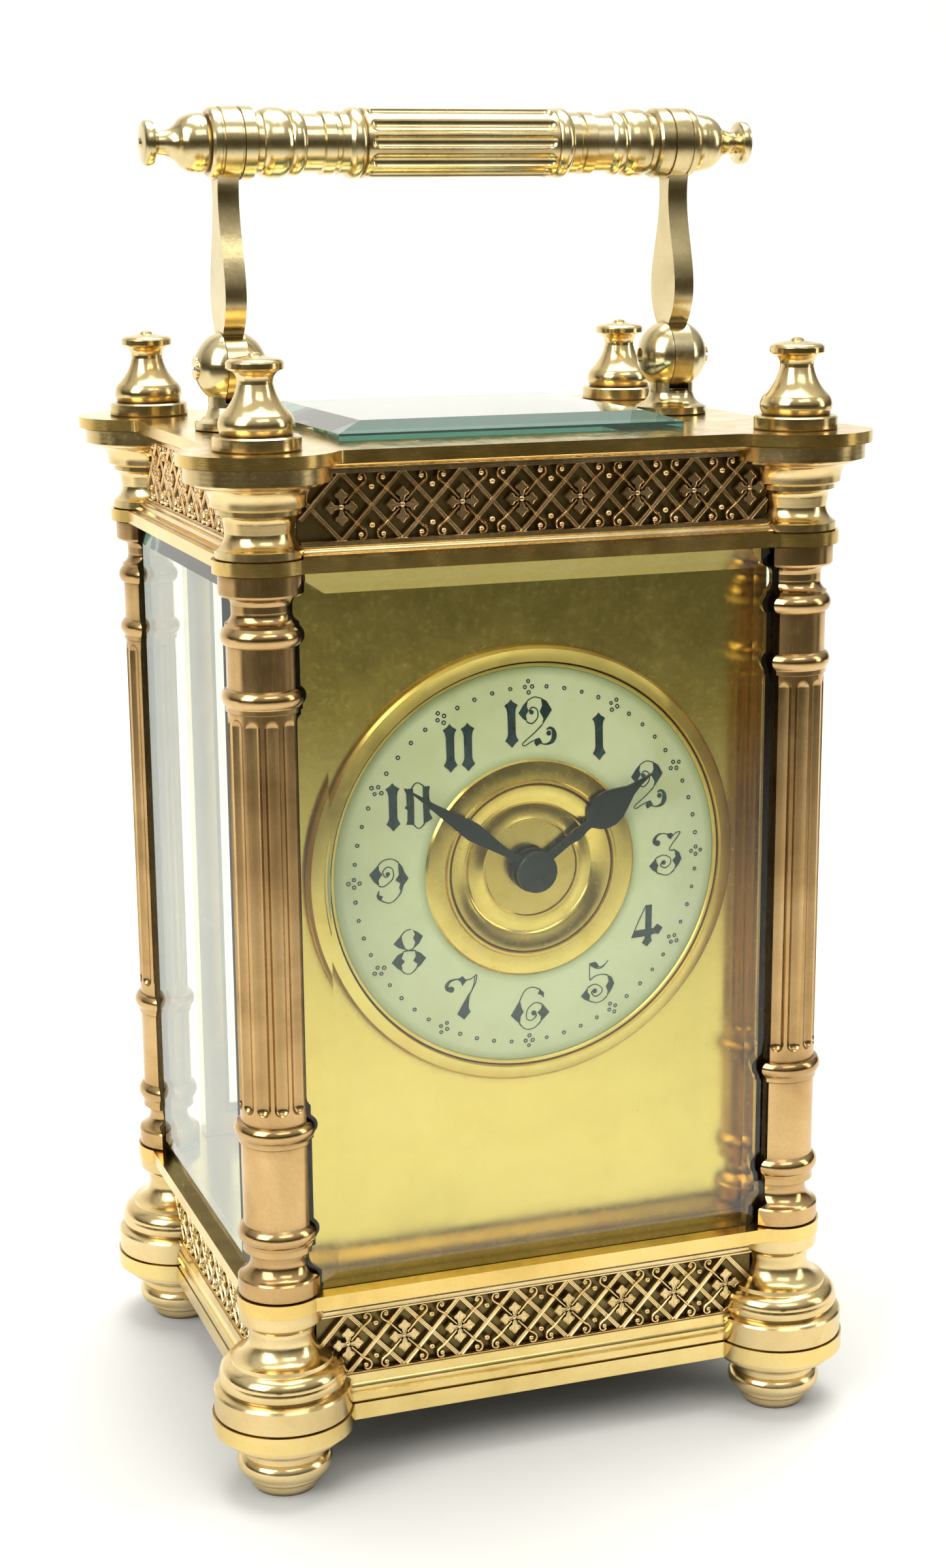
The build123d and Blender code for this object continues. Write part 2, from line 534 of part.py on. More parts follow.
end_button = turned_x([
    (3.5, COLLAR_X[1]), (3.72, 34.3), (3.72, 35.3, 0.06), (2.9, 37.4, 0.2), (1.5, 39.6, -0.3),
    (1.4, 40.2), (2.5, 40.7, -0.1), (2.8, 40.9), (2.8, 41.9, 0.08), (2.2, 42.2, 0.05), (0.8, 42.35),
    (0.5, 42.6),
])
end_button = Pos(0, 0, GRIP_Z) * end_button - rod_x(TENON_R, 0, GRIP_Z, 30, 36.0)
save("handle_end_buttons", end_button, mirror(end_button, Plane.YZ))

# ---- dial ---------------------------------------------------------------------------------
MASK_HALF = 33.2
MASK_HOLE_R = 26.9
mask = block((-MASK_HALF, MASK_HALF), MASK_Y, PANE_Z)
mask -= rod_y(MASK_HOLE_R, 0, DIAL_Z, -40, 0)
save("dial_mask", mask)


def ring_y(section):
    """Ring about the dial axis from a closed (radius, y) section."""
    return Pos(0, 0, DIAL_Z) * Rot(-90, 0, 0) * revolve(Plane.XZ * outline(section), Axis.Z)


RING_BACK = -24.0
RING_EDGE_Y = -25.15
RING_INNER_Y = -26.1
save("chapter_ring", ring_y([
    (RING_R[0], RING_BACK), (RING_R[0], RING_INNER_Y), (RING_R[0] + 0.4, RING_INNER_Y - 0.05),
    (RING_R[1], RING_EDGE_Y, 0.25), (RING_R[1], RING_BACK),
]))
save("dial_bezel", ring_y([
    (BEZEL_R[0], MASK_Y[0]), (BEZEL_R[0], -25.3), (26.75, -25.52), (27.05, -25.52), (27.2, -25.25),
    (27.4, -26.2), (28.95, -25.7, 0.05), (BEZEL_R[1], -25.35), (BEZEL_R[1], MASK_Y[0]),
]))
CENTRE_BORE_R = 2.7
save("dial_centre", ring_y([
    (CENTRE_BORE_R, RING_BACK), (CENTRE_BORE_R, -26.2), (6.3, -26.2), (6.45, -26.45), (6.75, -26.45),
    (8.6, -25.95, -0.12), (9.2, -26.3, 0.05), (11.1, -26.75, 0.12), (11.3, -26.5), (11.5, -26.9),
    (11.8, -26.9), (12.0, -26.6), (14.3, -26.45, 0.05), (14.6, -26.2), (RING_R[0], -26.12),
    (RING_R[0], RING_BACK),
]))


# ---- hands --------------------------------------------------------------------------------
def hand(points, hub_r, bore_r, clock_deg, y0, y1):
    """Flat hand, drawn pointing up as its right-hand outline from the hub to the tip."""
    mirrored = [(-p[0], p[1]) for p in reversed(points[:-1])]
    blade_face = make_face(Polyline(*points, *mirrored, close=True))
    face = blade_face + Circle(hub_r) - Circle(bore_r)
    return slab_y(Pos(0, DIAL_Z) * Rot(0, 0, -clock_deg) * face, y0, y1)


MINUTE_Y = (-28.35, -27.95)
HOUR_Y = (-27.5, -27.05)
minute_blade = [(0.55, 1.0), (0.5, 5.0), (1.25, 10.6), (0.45, 17.0), (0.12, MINUTE_HAND_LENGTH)]
hour_blade = [(0.6, 1.0), (0.5, 5.8), (0.8, 7.4), (0.55, 8.8), (0.55, 9.5), (1.55, 10.4), (2.15, 11.4),
              (2.4, 12.5), (2.25, 13.7), (1.65, 15.0), (0.75, 16.7), (0.35, 18.2), (0.1, HOUR_HAND_LENGTH)]
save("minute_hand", hand(minute_blade, 2.3, ARBOR_R, MINUTE_HAND_CLOCK_DEG, *MINUTE_Y))
save("hour_hand", hand(hour_blade, 2.95, HOUR_PIPE_R, HOUR_HAND_CLOCK_DEG, *HOUR_Y))
save("hand_collet", turned_y([(2.6, -29.0), (2.75, -28.85), (2.75, MINUTE_Y[0])], 0, DIAL_Z)
     - rod_y(ARBOR_R, 0, DIAL_Z, -28.7, -20))

# ---- hand-setting work --------------------------------------------------------------------
CANNON_MODULE = 2 * MOTION_CENTRES / (CANNON_LEAVES + MINUTE_TEETH)
HOUR_MODULE = 2 * MOTION_CENTRES / (HOUR_LEAVES + HOUR_TEETH)
SQUARE = 1.5
arbor = rod_y(ARBOR_R, *CENTRE_AT, -28.7, 20.0)
arbor += rod_y(CANNON_R, *CENTRE_AT, MINUTE_Y[1], -18.6)
cannon_pinion = gear_face(CANNON_LEAVES, CANNON_MODULE, 3)
arbor += slab_y(placed(cannon_pinion, *CENTRE_AT, MINUTE_DIRECTION), -20.2, -18.6)
arbor += Pos(CENTRE_AT[0], 21.5, CENTRE_AT[1]) * Box(SQUARE, 5.0, SQUARE)
save("centre_arbor", arbor)
MINUTE_PIN_R = 0.7
minute_turn = MINUTE_DIRECTION + 180 + 180 / MINUTE_TEETH
minute_wheel = slab_y(placed(gear_face(MINUTE_TEETH, CANNON_MODULE), *MINUTE_AT, minute_turn), -19.9, -18.9)
minute_pinion = placed(gear_face(HOUR_LEAVES, HOUR_MODULE, 3), *MINUTE_AT, MINUTE_DIRECTION + 180)
minute_wheel += slab_y(minute_pinion, -22.0, -19.9)
minute_wheel -= rod_y(MINUTE_PIN_R + RUNNING, *MINUTE_AT, -30, 0)
save("minute_wheel", minute_wheel)
hour_turn = MINUTE_DIRECTION + 180 / HOUR_TEETH
hour_wheel = slab_y(placed(gear_face(HOUR_TEETH, HOUR_MODULE), *CENTRE_AT, hour_turn), -21.7, -20.7)
hour_wheel += rod_y(HOUR_PIPE_R, *CENTRE_AT, HOUR_Y[0], -20.7)
hour_wheel -= rod_y(CANNON_R + RUNNING, *CENTRE_AT, -30, 0)
save("hour_wheel", hour_wheel)

# ---- going train --------------------------------------------------------------------------
centre_to_barrel = direction(CENTRE_AT, BARREL_AT)
centre_to_third = direction(CENTRE_AT, THIRD_AT)
third_to_contrate = direction(THIRD_AT, CONTRATE_AT)

GREAT_Y = (-6.5, -4.5)
DRUM_R = 18.4
DRUM_Y = (-4.5, 11.0)
DRUM_WALL = 1.2
BARREL_ARBOR_R = 2.0
great = slab_y(placed(gear_face(BARREL_TEETH, BARREL_MODULE), *BARREL_AT, centre_to_barrel + 180), *GREAT_Y)
drum = rod_y(DRUM_R, *BARREL_AT, *DRUM_Y)
drum -= rod_y(DRUM_R - DRUM_WALL, *BARREL_AT, GREAT_Y[1], DRUM_Y[1] - DRUM_WALL)
barrel = great + drum - rod_y(BARREL_ARBOR_R + RUNNING, *BARREL_AT, -30, 30)
save("barrel", barrel)


def spiral(turns, inner, outer, thickness, steps):
    """Flat spiral strip as a face around the origin."""
    outside = []
    inside = []
    for k in range(steps + 1):
        angle = 2 * math.pi * turns * k / steps
        r = inner + (outer - inner) * k / steps
        outside.append(((r + thickness / 2) * math.cos(angle), (r + thickness / 2) * math.sin(angle)))
        inside.append(((r - thickness / 2) * math.cos(angle), (r - thickness / 2) * math.sin(angle)))
    edges = [Spline(*outside), Line(outside[-1], inside[-1]), Spline(*reversed(inside)),
             Line(inside[0], outside[0])]
    return make_face(Wire(edges))


spring_face = spiral(7, 6.0, DRUM_R - DRUM_WALL - 0.3, 0.5, 84)
save("mainspring", slab_y(Pos(*BARREL_AT) * spring_face, GREAT_Y[1] + 0.4, DRUM_Y[1] - DRUM_WALL - 0.4))

RATCHET_Y = (16.3, 17.4)
RATCHET_R = (5.0, 6.0)
ratchet_points = []
for k in range(RATCHET_TEETH):
    ratchet_points.append(polar(0, 0, RATCHET_R[1], 360 * k / RATCHET_TEETH))
    ratchet_points.append(polar(0, 0, RATCHET_R[0], 360 * k / RATCHET_TEETH + 1.0))
winding = rod_y(BARREL_ARBOR_R, *BARREL_AT, -16.0 + 0.2, 20.0)
winding += rod_y(PIVOT_R, *BARREL_AT, FRONT_PLATE_Y[0], -15.8)
winding += Pos(BARREL_AT[0], 22.0, BARREL_AT[1]) * Box(2.6, 6.0, 2.6)
save("winding_arbor", winding)
ratchet = slab_y(Pos(*BARREL_AT) * make_face(Polyline(*ratchet_points, close=True)), *RATCHET_Y)
ratchet -= rod_y(BARREL_ARBOR_R, *BARREL_AT, 10, 30)
save("ratchet_wheel", ratchet)
CLICK_AT = (BARREL_AT[0] + 9.0, BARREL_AT[1] + 2.0)
CLICK_SCREW_R = 0.8
click_points = [(-1.2, -1.6), (1.3, -1.6), (1.6, 1.4), (0.2, 1.7), (-2.75, -0.9)]
click_face = make_face(Polyline(*click_points, close=True))
click = slab_y(Pos(*CLICK_AT) * click_face, *RATCHET_Y)
click -= rod_y(CLICK_SCREW_R + RUNNING, *CLICK_AT, 10, 30)
save("click", click)

CENTRE_WHEEL_Y = (-13.6, -12.4)
CENTRE_PINION_Y = (-7.2, -4.2)
CENTRE_TUBE_R = 2.0
centre_gear = gear_face(CENTRE_TEETH, CENTRE_MODULE) - crossings(13.6, 4.0, 5, 2.0)
centre = slab_y(placed(centre_gear, *CENTRE_AT, centre_to_third), *CENTRE_WHEEL_Y)
centre += rod_y(CENTRE_TUBE_R, *CENTRE_AT, CENTRE_WHEEL_Y[0] - 1.0, 6.0)
centre += slab_y(
    placed(gear_face(CENTRE_LEAVES, BARREL_MODULE, 3), *CENTRE_AT, centre_to_barrel + 180 / CENTRE_LEAVES),
    *CENTRE_PINION_Y)
centre -= rod_y(ARBOR_R + RUNNING, *CENTRE_AT, -30, 30)
save("centre_wheel", centre)


def arbor_with_pivots(at, radius):
    """Arbor along Y between the movement plates, with a pivot at each end."""
    body = rod_y(radius, *at, FRONT_PLATE_Y[1] + 0.3, BACK_PLATE_Y[0] - 0.3)
    return body + rod_y(PIVOT_R, *at, FRONT_PLATE_Y[0] + 0.4, BACK_PLATE_Y[1] - 0.4)


THIRD_WHEEL_Y = (-2.0, -1.0)
third_gear = gear_face(THIRD_TEETH, THIRD_MODULE) - crossings(11.6, 2.8, 5, 1.6)
third = arbor_with_pivots(THIRD_AT, 1.0)
third += slab_y(placed(third_gear, *THIRD_AT, third_to_contrate), *THIRD_WHEEL_Y)
third_pinion = gear_face(THIRD_LEAVES, CENTRE_MODULE, 3)
third += slab_y(placed(third_pinion, *THIRD_AT, centre_to_third + 180 + 180 / THIRD_LEAVES),
                CENTRE_WHEEL_Y[0] - 0.5, CENTRE_WHEEL_Y[1] + 0.8)
save("third_wheel", third)

contrate = arbor_with_pivots(CONTRATE_AT, 0.9)
contrate += slab_y(
    placed(gear_face(CONTRATE_LEAVES, THIRD_MODULE, 3), *CONTRATE_AT,
           third_to_contrate + 180 + 180 / CONTRATE_LEAVES),
    THIRD_WHEEL_Y[0] - 0.5, THIRD_WHEEL_Y[1] + 0.6)
CROWN_R = (CONTRATE_R - 0.5, CONTRATE_R + 0.5)
crown_disc = Circle(CROWN_R[1]) - crossings(10.3, 2.6, 4, 1.5)
contrate += slab_y(placed(crown_disc, *CONTRATE_AT, 0), CONTRATE_RIM_Y - 1.1, CONTRATE_RIM_Y)
crown_pitch = math.pi * CONTRATE_MODULE
crown_tip = CONTRATE_PITCH_Y + ADDENDUM * CONTRATE_MODULE
tooth_root = crown_pitch * (TOOTH_SHARE / 2 + 0.06)
tooth_tip = crown_pitch * (TOOTH_SHARE / 2 - 0.09)
tooth_side = make_face(Polyline((-tooth_root, CONTRATE_RIM_Y - 0.05), (tooth_root, CONTRATE_RIM_Y - 0.05),
                                (tooth_tip, crown_tip), (-tooth_tip, crown_tip), close=True))
crown_tooth = Pos(0, 0, CROWN_R[0]) * extrude(tooth_side, CROWN_R[1] - CROWN_R[0] - 0.02)
crown_teeth = [Pos(CONTRATE_AT[0], 0, CONTRATE_AT[1]) * Rot(0, 360 * k / CONTRATE_TEETH, 0) * crown_tooth
               for k in range(CONTRATE_TEETH)]
contrate = contrate.fuse(*crown_teeth)
save("contrate_wheel", contrate)

# ---- movement frame -----------------------------------------------------------------------
PILLAR_AT = [(sx * 20.5, z) for sx in (-1, 1) for z in (32.0, 112.0)]
DIAL_PILLAR_AT = [(sx * 21.5, z) for sx in (-1, 1) for z in (46.0, 110.0)]
PLATFORM_SCREW_AT = [(sx * 14.5, y) for sx in (-1, 1) for y in (-17.0, 15.0)]
PLATFORM_SCREW_R = 0.6
PLATFORM_SCREW_FOOT = 114.0
front_plate = block((-MOVEMENT_HALF, MOVEMENT_HALF), FRONT_PLATE_Y, MOVEMENT_Z)
back_plate = block((-MOVEMENT_HALF, MOVEMENT_HALF), BACK_PLATE_Y, MOVEMENT_Z)
PLATE_BORES = (
    (THIRD_AT, PIVOT_R, PIVOT_R), (CONTRATE_AT, PIVOT_R, PIVOT_R),
    (BARREL_AT, PIVOT_R, BARREL_ARBOR_R), (CENTRE_AT, ARBOR_R, ARBOR_R),
)
for at, front_r, back_r in PLATE_BORES:
    front_plate -= rod_y(front_r + RUNNING, *at, -30, 0)
    back_plate -= rod_y(back_r + RUNNING, *at, 0, 30)
PILLAR = [(2.2, -16.0), (2.2, -13.5), (1.7, -12.5), (1.7, 10.5), (2.2, 11.5), (2.2, 14.0)]
pillars = []
for at in PILLAR_AT:
    pillars.append(turned_y(PILLAR, *at) - rod_y(SCREW_R, *at, -30, 30))
    front_plate -= rod_y(SCREW_R, *at, -30, 0)
    back_plate -= rod_y(SCREW_R, *at, 0, 30)
for at in DIAL_PILLAR_AT:
    pillars.append(rod_y(1.2, *at, MASK_Y[1], FRONT_PLATE_Y[0]))
back_plate -= rod_y(CLICK_SCREW_R, *CLICK_AT, 0, 30)
front_plate -= rod_y(MINUTE_PIN_R, *MINUTE_AT, -30, 0)
for x, y in SCREW_AT:
    hole = rod_z(SCREW_R, x, y, 20, 32)
    front_plate -= hole
    back_plate -= hole
for x, y in PLATFORM_SCREW_AT:
    hole = rod_z(PLATFORM_SCREW_R, x, y, PLATFORM_SCREW_FOOT, 120)
    front_plate -= hole
    back_plate -= hole
save("movement_front_plate", front_plate)
save("movement_back_plate", back_plate)
save("movement_pillars", *pillars)

SCREW_HEAD_R = 1.6
screws = []
for at in PILLAR_AT:
    head = rod_y(SCREW_HEAD_R, *at, 16.0, 17.0) - Pos(at[0], 17.0, at[1]) * Box(4, 0.8, 0.4)
    screws.append(head + rod_y(SCREW_R, *at, -15.0, 16.0))
for x, y in SCREW_AT:
    head = rod_z(SCREW_HEAD_R, x, y, LOWER_RAIL_Z[0] - 1.0, LOWER_RAIL_Z[0])
    screws.append(head + rod_z(SCREW_R, x, y, LOWER_RAIL_Z[0] - 1.0, 32.0))
screws.append(rod_y(CLICK_SCREW_R, *CLICK_AT, 14.5, RATCHET_Y[1] + 0.1)
              + rod_y(1.4, *CLICK_AT, RATCHET_Y[1] + 0.1, 18.2))
screws.append(rod_y(MINUTE_PIN_R, *MINUTE_AT, -22.6, -16.5) + rod_y(1.1, *MINUTE_AT, -23.0, -22.2))
for x, y in PLATFORM_SCREW_AT:
    head = rod_z(1.3, x, y, PLATFORM_Z[1], 118.8)
    screws.append(head + rod_z(PLATFORM_SCREW_R, x, y, PLATFORM_SCREW_FOOT, PLATFORM_Z[1]))

# ---- platform escapement ------------------------------------------------------------------
platform = block((-PLATFORM_HALF, PLATFORM_HALF), (FRONT_PLATE_Y[0], BACK_PLATE_Y[1]), PLATFORM_Z)
for x, y in PLATFORM_SCREW_AT:
    platform -= rod_z(PLATFORM_SCREW_R, x, y, 110, 120)
ESCAPE_WHEEL_Z = (119.2, 119.7)
platform -= rod_z(ESCAPE_PINION_R + 0.6, *ESCAPE_AT, 115, 120)
FINE_PIVOT_R = 0.3
for at in (LEVER_AT, BALANCE_AT):
    platform -= rod_z(FINE_PIVOT_R + RUNNING, *at, 115, 120)
save("platform", platform)

# One bridge holds the upper pivots of the escape wheel and the lever.
BRIDGE_POST = (ESCAPE_AT[0] - 9.0, ESCAPE_AT[1])
BRIDGE_Z = (120.5, 121.1)
bridge_face = Pos(*ESCAPE_AT) * Rot(0, 0, LEVER_DIRECTION) * Pos(LEVER_DISTANCE / 2, 0) * Rectangle(
    LEVER_DISTANCE, 2.0)
bridge_face += Pos(ESCAPE_AT[0] - 4.5, ESCAPE_AT[1]) * Rectangle(9.0, 2.6)
for at, radius in ((BRIDGE_POST, 2.2), (ESCAPE_AT, 1.8), (LEVER_AT, 1.5)):
    bridge_face += Pos(*at) * Circle(radius)
escape_bridge = slab_z(bridge_face, *BRIDGE_Z) + rod_z(2.0, *BRIDGE_POST, PLATFORM_Z[1], BRIDGE_Z[0])
for at in (ESCAPE_AT, LEVER_AT):
    escape_bridge -= rod_z(FINE_PIVOT_R + RUNNING, *at, 120, 122)

pinion_turn = -90.0
escape_pinion = slab_z(Pos(*ESCAPE_AT) * Rot(0, 0, pinion_turn + 180 / ESCAPE_LEAVES)
                       * gear_face(ESCAPE_LEAVES, CONTRATE_MODULE, 3),
                       CONTRATE_AT[1] + CROWN_R[0] - 0.4, CONTRATE_AT[1] + CROWN_R[1] + 0.5)
ESCAPE_R = (3.1, 4.5)
escape_points = []
for k in range(ESCAPE_TEETH):
    at_deg = 360 * k / ESCAPE_TEETH
    escape_points.append(polar(0, 0, ESCAPE_R[0], at_deg - 6.0))
    escape_points.append(polar(0, 0, ESCAPE_R[1], at_deg))
    escape_points.append(polar(0, 0, ESCAPE_R[1] - 0.05, at_deg + 3.0))
    escape_points.append(polar(0, 0, ESCAPE_R[0], at_deg + 4.5))
escape_face = make_face(Polyline(*escape_points, close=True)) - crossings(2.5, 1.0, 4, 0.6)
escape = slab_z(Pos(*ESCAPE_AT) * escape_face, *ESCAPE_WHEEL_Z)
escape += escape_pinion + rod_z(0.5, *ESCAPE_AT, CONTRATE_AT[1] + CROWN_R[0], BRIDGE_Z[0] - 0.1)
escape += rod_z(FINE_PIVOT_R, *ESCAPE_AT, BRIDGE_Z[0] - 0.2, BRIDGE_Z[1])
save("escape_wheel", escape)

LEVER_Z = (119.1, 119.8)
lever_face = Rectangle(1.1, 5.6) + Pos(1.9, 0) * Rectangle(3.8, 0.9) + Circle(1.0)
lever_face += Pos(3.7, 0) * Rectangle(0.5, 1.6)
for side in (-1, 1):
    lever_face += Pos(4.3, side * 0.55) * Rectangle(1.4, 0.5)
    lever_face += Pos(-0.8, side * 2.5) * Rectangle(2.2, 0.65)
lever = slab_z(Pos(*LEVER_AT) * Rot(0, 0, LEVER_DIRECTION) * lever_face, *LEVER_Z)
lever += rod_z(FINE_PIVOT_R, *LEVER_AT, PLATFORM_Z[0] + 0.3, BRIDGE_Z[1])
save("pallet_lever", lever)

BALANCE_Z = (121.3, 122.5)
BALANCE_R = 7.6
BALANCE_SCREWS = 14
balance_face = Circle(BALANCE_R) - Circle(BALANCE_R - 1.0)
balance_face += Rectangle(2 * BALANCE_R - 1.0, 1.4) + Circle(1.5)
balance = slab_z(Pos(*BALANCE_AT) * balance_face, *BALANCE_Z)
balance += rod_z(FINE_PIVOT_R, *BALANCE_AT, PLATFORM_Z[0] + 0.3, 125.0)
balance += rod_z(0.9, *BALANCE_AT, 120.2, BALANCE_Z[0])
balance += rod_z(0.9, *BALANCE_AT, BALANCE_Z[1], 123.5)
for k in range(BALANCE_SCREWS):
    timing_screw = Pos(BALANCE_R + 0.3, 0, 0) * Rot(0, 90, 0) * Cylinder(0.4, 0.8)
    balance += Pos(*BALANCE_AT, 121.9) * Rot(0, 0, 360 * (k + 0.5) / BALANCE_SCREWS) * timing_screw
save("balance_wheel", balance)

COCK_REACH = 12.3
COCK_DIRECTION = -35
COCK_Z = (124.5, 125.7)
COCK_FOOT = polar(*BALANCE_AT, COCK_REACH, COCK_DIRECTION)
cock_face = Pos(COCK_REACH / 2, 0) * Rectangle(COCK_REACH, 4.0)
cock_face = Pos(*BALANCE_AT) * Rot(0, 0, COCK_DIRECTION) * cock_face
for at in (BALANCE_AT, COCK_FOOT):
    cock_face += Pos(*at) * Circle(3.2)
cock = slab_z(cock_face, *COCK_Z) + rod_z(2.6, *COCK_FOOT, PLATFORM_Z[1], COCK_Z[0])
cock -= rod_z(FINE_PIVOT_R + RUNNING, *BALANCE_AT, 120, 130)
save("balance_cock", cock, escape_bridge)
SPRING_R = (1.4, 4.6)
hairspring = slab_z(Pos(*BALANCE_AT) * spiral(6, *SPRING_R, 0.16, 72), 123.7, 124.1)
stud_x, stud_y = polar(*BALANCE_AT, SPRING_R[1], 0)
hairspring += block((stud_x, stud_x + 0.8), (stud_y - 0.4, stud_y + 0.4), (123.5, COCK_Z[0]))
save("hairspring", hairspring)
save("movement_screws", *screws)
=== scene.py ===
import math
import random

import bpy
from mathutils import Matrix, Vector
from mathutils.geometry import tessellate_polygon


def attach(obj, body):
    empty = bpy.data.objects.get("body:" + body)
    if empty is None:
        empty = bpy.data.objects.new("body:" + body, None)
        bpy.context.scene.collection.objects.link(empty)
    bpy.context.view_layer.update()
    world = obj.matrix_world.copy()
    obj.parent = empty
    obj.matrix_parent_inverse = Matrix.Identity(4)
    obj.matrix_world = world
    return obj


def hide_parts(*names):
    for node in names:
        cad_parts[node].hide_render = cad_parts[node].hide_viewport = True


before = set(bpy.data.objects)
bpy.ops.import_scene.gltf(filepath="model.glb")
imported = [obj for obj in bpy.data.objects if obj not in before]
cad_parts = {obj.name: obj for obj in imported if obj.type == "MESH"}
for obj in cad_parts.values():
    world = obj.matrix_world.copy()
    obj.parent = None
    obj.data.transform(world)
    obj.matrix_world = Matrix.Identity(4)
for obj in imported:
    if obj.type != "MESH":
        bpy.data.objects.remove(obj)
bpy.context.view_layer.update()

MM = 0.001
DIAL_Z = 80.8              # millimetres, as the sizes of the pieces below are
RING_INNER = 14.4
RING_OUTER = 26.6
TRACK_SEED = 7
rng = random.Random(TRACK_SEED)


# ---- shader helpers -------------------------------------------------------------------------
def set_stops(node, stops):
    """Give a colour ramp its (position, colour) stops."""
    elements = node.color_ramp.elements
    while len(elements) < len(stops):
        elements.new(0.5)
    for element, (position, colour) in zip(elements, stops):
        element.position = position
        element.color = solid(*colour)


def solid(r, g, b):
    return (r, g, b, 1.0)


COLOUR_MIX_INPUTS = (0, 6, 7)      # the Mix node's factor, first and second colour
COLOUR_MIX_OUTPUT = 2


class Shader:
    """A material's node tree, with a Principled shader at its end."""

    def __init__(self, name):
        self.material = bpy.data.materials.new(name)
        self.material.use_nodes = True
        self.tree = self.material.node_tree
        self.surface = self.tree.nodes["Principled BSDF"]
        self.place = self.add("ShaderNodeTexCoord").outputs["Object"]

    def add(self, kind, **sockets):
        node = self.tree.nodes.new(kind)
        for name, value in sockets.items():
            self.feed(node, name.replace("_", " "), value)
        return node

    def feed(self, node, name, value):
        socket = node.inputs[name]
        if isinstance(value, bpy.types.NodeSocket):
            self.tree.links.new(value, socket)
        else:
            socket.default_value = value

    def stretched(self, scale):
        node = self.add("ShaderNodeMapping", Vector=self.place)
        node.inputs["Scale"].default_value = scale
        return node.outputs["Vector"]

    def noise(self, scale, detail=3.0, rough=0.55, vector=None, distortion=0.0):
        node = self.add("ShaderNodeTexNoise", Vector=vector or self.place, Scale=scale, Detail=detail,
                        Roughness=rough, Distortion=distortion)
        return node.outputs["Fac"]

    def span(self, value, low, high, to_low=0.0, to_high=1.0):
        node = self.add("ShaderNodeMapRange", Value=value)
        ends = {"From Min": low, "From Max": high, "To Min": to_low, "To Max": to_high}
        for name, number in ends.items():
            node.inputs[name].default_value = number
        return node.outputs["Result"]

    def ramp(self, value, *stops):
        node = self.add("ShaderNodeValToRGB", Fac=value)
        set_stops(node, stops)
        return node.outputs["Color"]

    def math(self, operation, a, b=0.0):
        node = self.add("ShaderNodeMath")
        node.operation = operation
        self.feed(node, 0, a)
        self.feed(node, 1, b)
        return node.outputs["Value"]

    def blend(self, factor, a, b):
        node = self.add("ShaderNodeMix")
        node.data_type = "RGBA"
        for socket, value in zip(COLOUR_MIX_INPUTS, (factor, a, b)):
            self.feed(node, socket, value)
        return node.outputs[COLOUR_MIX_OUTPUT]

    def bump(self, height, strength, distance, normal=None):
        node = self.add("ShaderNodeBump", Height=height, Strength=strength, Distance=distance)
        if normal is not None:
            self.feed(node, "Normal", normal)
        return node.outputs["Normal"]

    def set(self, **sockets):
        for name, value in sockets.items():
            self.feed(self.surface, name.replace("_", " "), value)
        return self.material


# painted shade: the dark brown that hollows and crevices darken towards
HOLLOW_SHADE = (0.13, 0.075, 0.03)
EVEN_GRAIN = (30.0, 30.0, 30.0)


def brass(name, dark, mid, light, rough=(0.12, 0.24), patches=70.0, brushed=EVEN_GRAIN, rings=None,
          crevice=0.0009, shaded=(0.20, 0.80), grain=0.08):
    """Gilded or lacquered brass: worn patches, fine scratches, and painted shade darkening the hollows.
    brushed is the stretch of the grain along each axis, and rings the axis that a turned part's tool
    marks go round.
    crevice is how far off a wall the painted shade still darkens a hollow, and shaded how open a face is
    at full painted shade and at none."""
    s = Shader(name)
    broad = s.noise(patches, 4.0, 0.6, distortion=0.6)
    fine = s.noise(2600.0, 2.0, 0.6)
    colour = s.ramp(broad, (0.16, dark), (0.48, mid), (0.84, light))
    colour = s.blend(s.span(fine, 0.45, 0.75, 0.0, 0.20), colour, solid(*dark))
    # painted shade: ambient occlusion darkens the colour in hollows, flutes and crevices
    hollow = s.add("ShaderNodeAmbientOcclusion", Distance=crevice)
    hollow.samples = 6
    open_face = s.span(hollow.outputs["AO"], *shaded)
    colour = s.blend(open_face, solid(*HOLLOW_SHADE), colour)
    scratch = s.noise(40.0, 3.0, 0.7, vector=s.stretched(brushed))
    roughness = s.span(s.noise(220.0, 3.0), 0.3, 0.7, rough[0], rough[1])
    roughness = s.math("ADD", roughness, s.span(scratch, 0.5, 0.8, 0.0, 0.10))
    roughness = s.math("ADD", roughness, s.span(open_face, 0.0, 1.0, 0.20, 0.0))
    normal = s.bump(scratch, grain, 0.00006)
    normal = s.bump(fine, grain * 0.6, 0.00004, normal)
    if rings is not None:
        wave = s.add("ShaderNodeTexWave", Vector=s.place, Scale=520.0, Distortion=0.6, Detail=2.0)
        wave.bands_direction = rings
        normal = s.bump(wave.outputs["Fac"], 0.03, 0.00003, normal)
    return s.set(Base_Color=colour, Metallic=1.0, Roughness=roughness, Normal=normal)


# ---- materials ------------------------------------------------------------------------------
# painted light: a paler, cooler copy of the gilt for the handle, standing for the cool light from above
# that it mirrors
SKYLIT_HANDLE_GILT = ((0.40, 0.32, 0.15), (0.66, 0.54, 0.29), (0.80, 0.69, 0.44))
GILT = ((0.48, 0.35, 0.15), (0.72, 0.55, 0.27), (0.84, 0.69, 0.40))
RAIL_GILT = ((0.54, 0.36, 0.10), (0.76, 0.54, 0.18), (0.88, 0.68, 0.30))
# painted shade and reflection: a darker, browner copy of the gilt for the columns, standing for the dark
# surroundings they mirror
SHADED_COLUMN_GILT = ((0.28, 0.17, 0.07), (0.52, 0.34, 0.15), (0.68, 0.48, 0.24))
FRET = ((0.46, 0.31, 0.16), (0.76, 0.56, 0.32), (0.90, 0.72, 0.46))
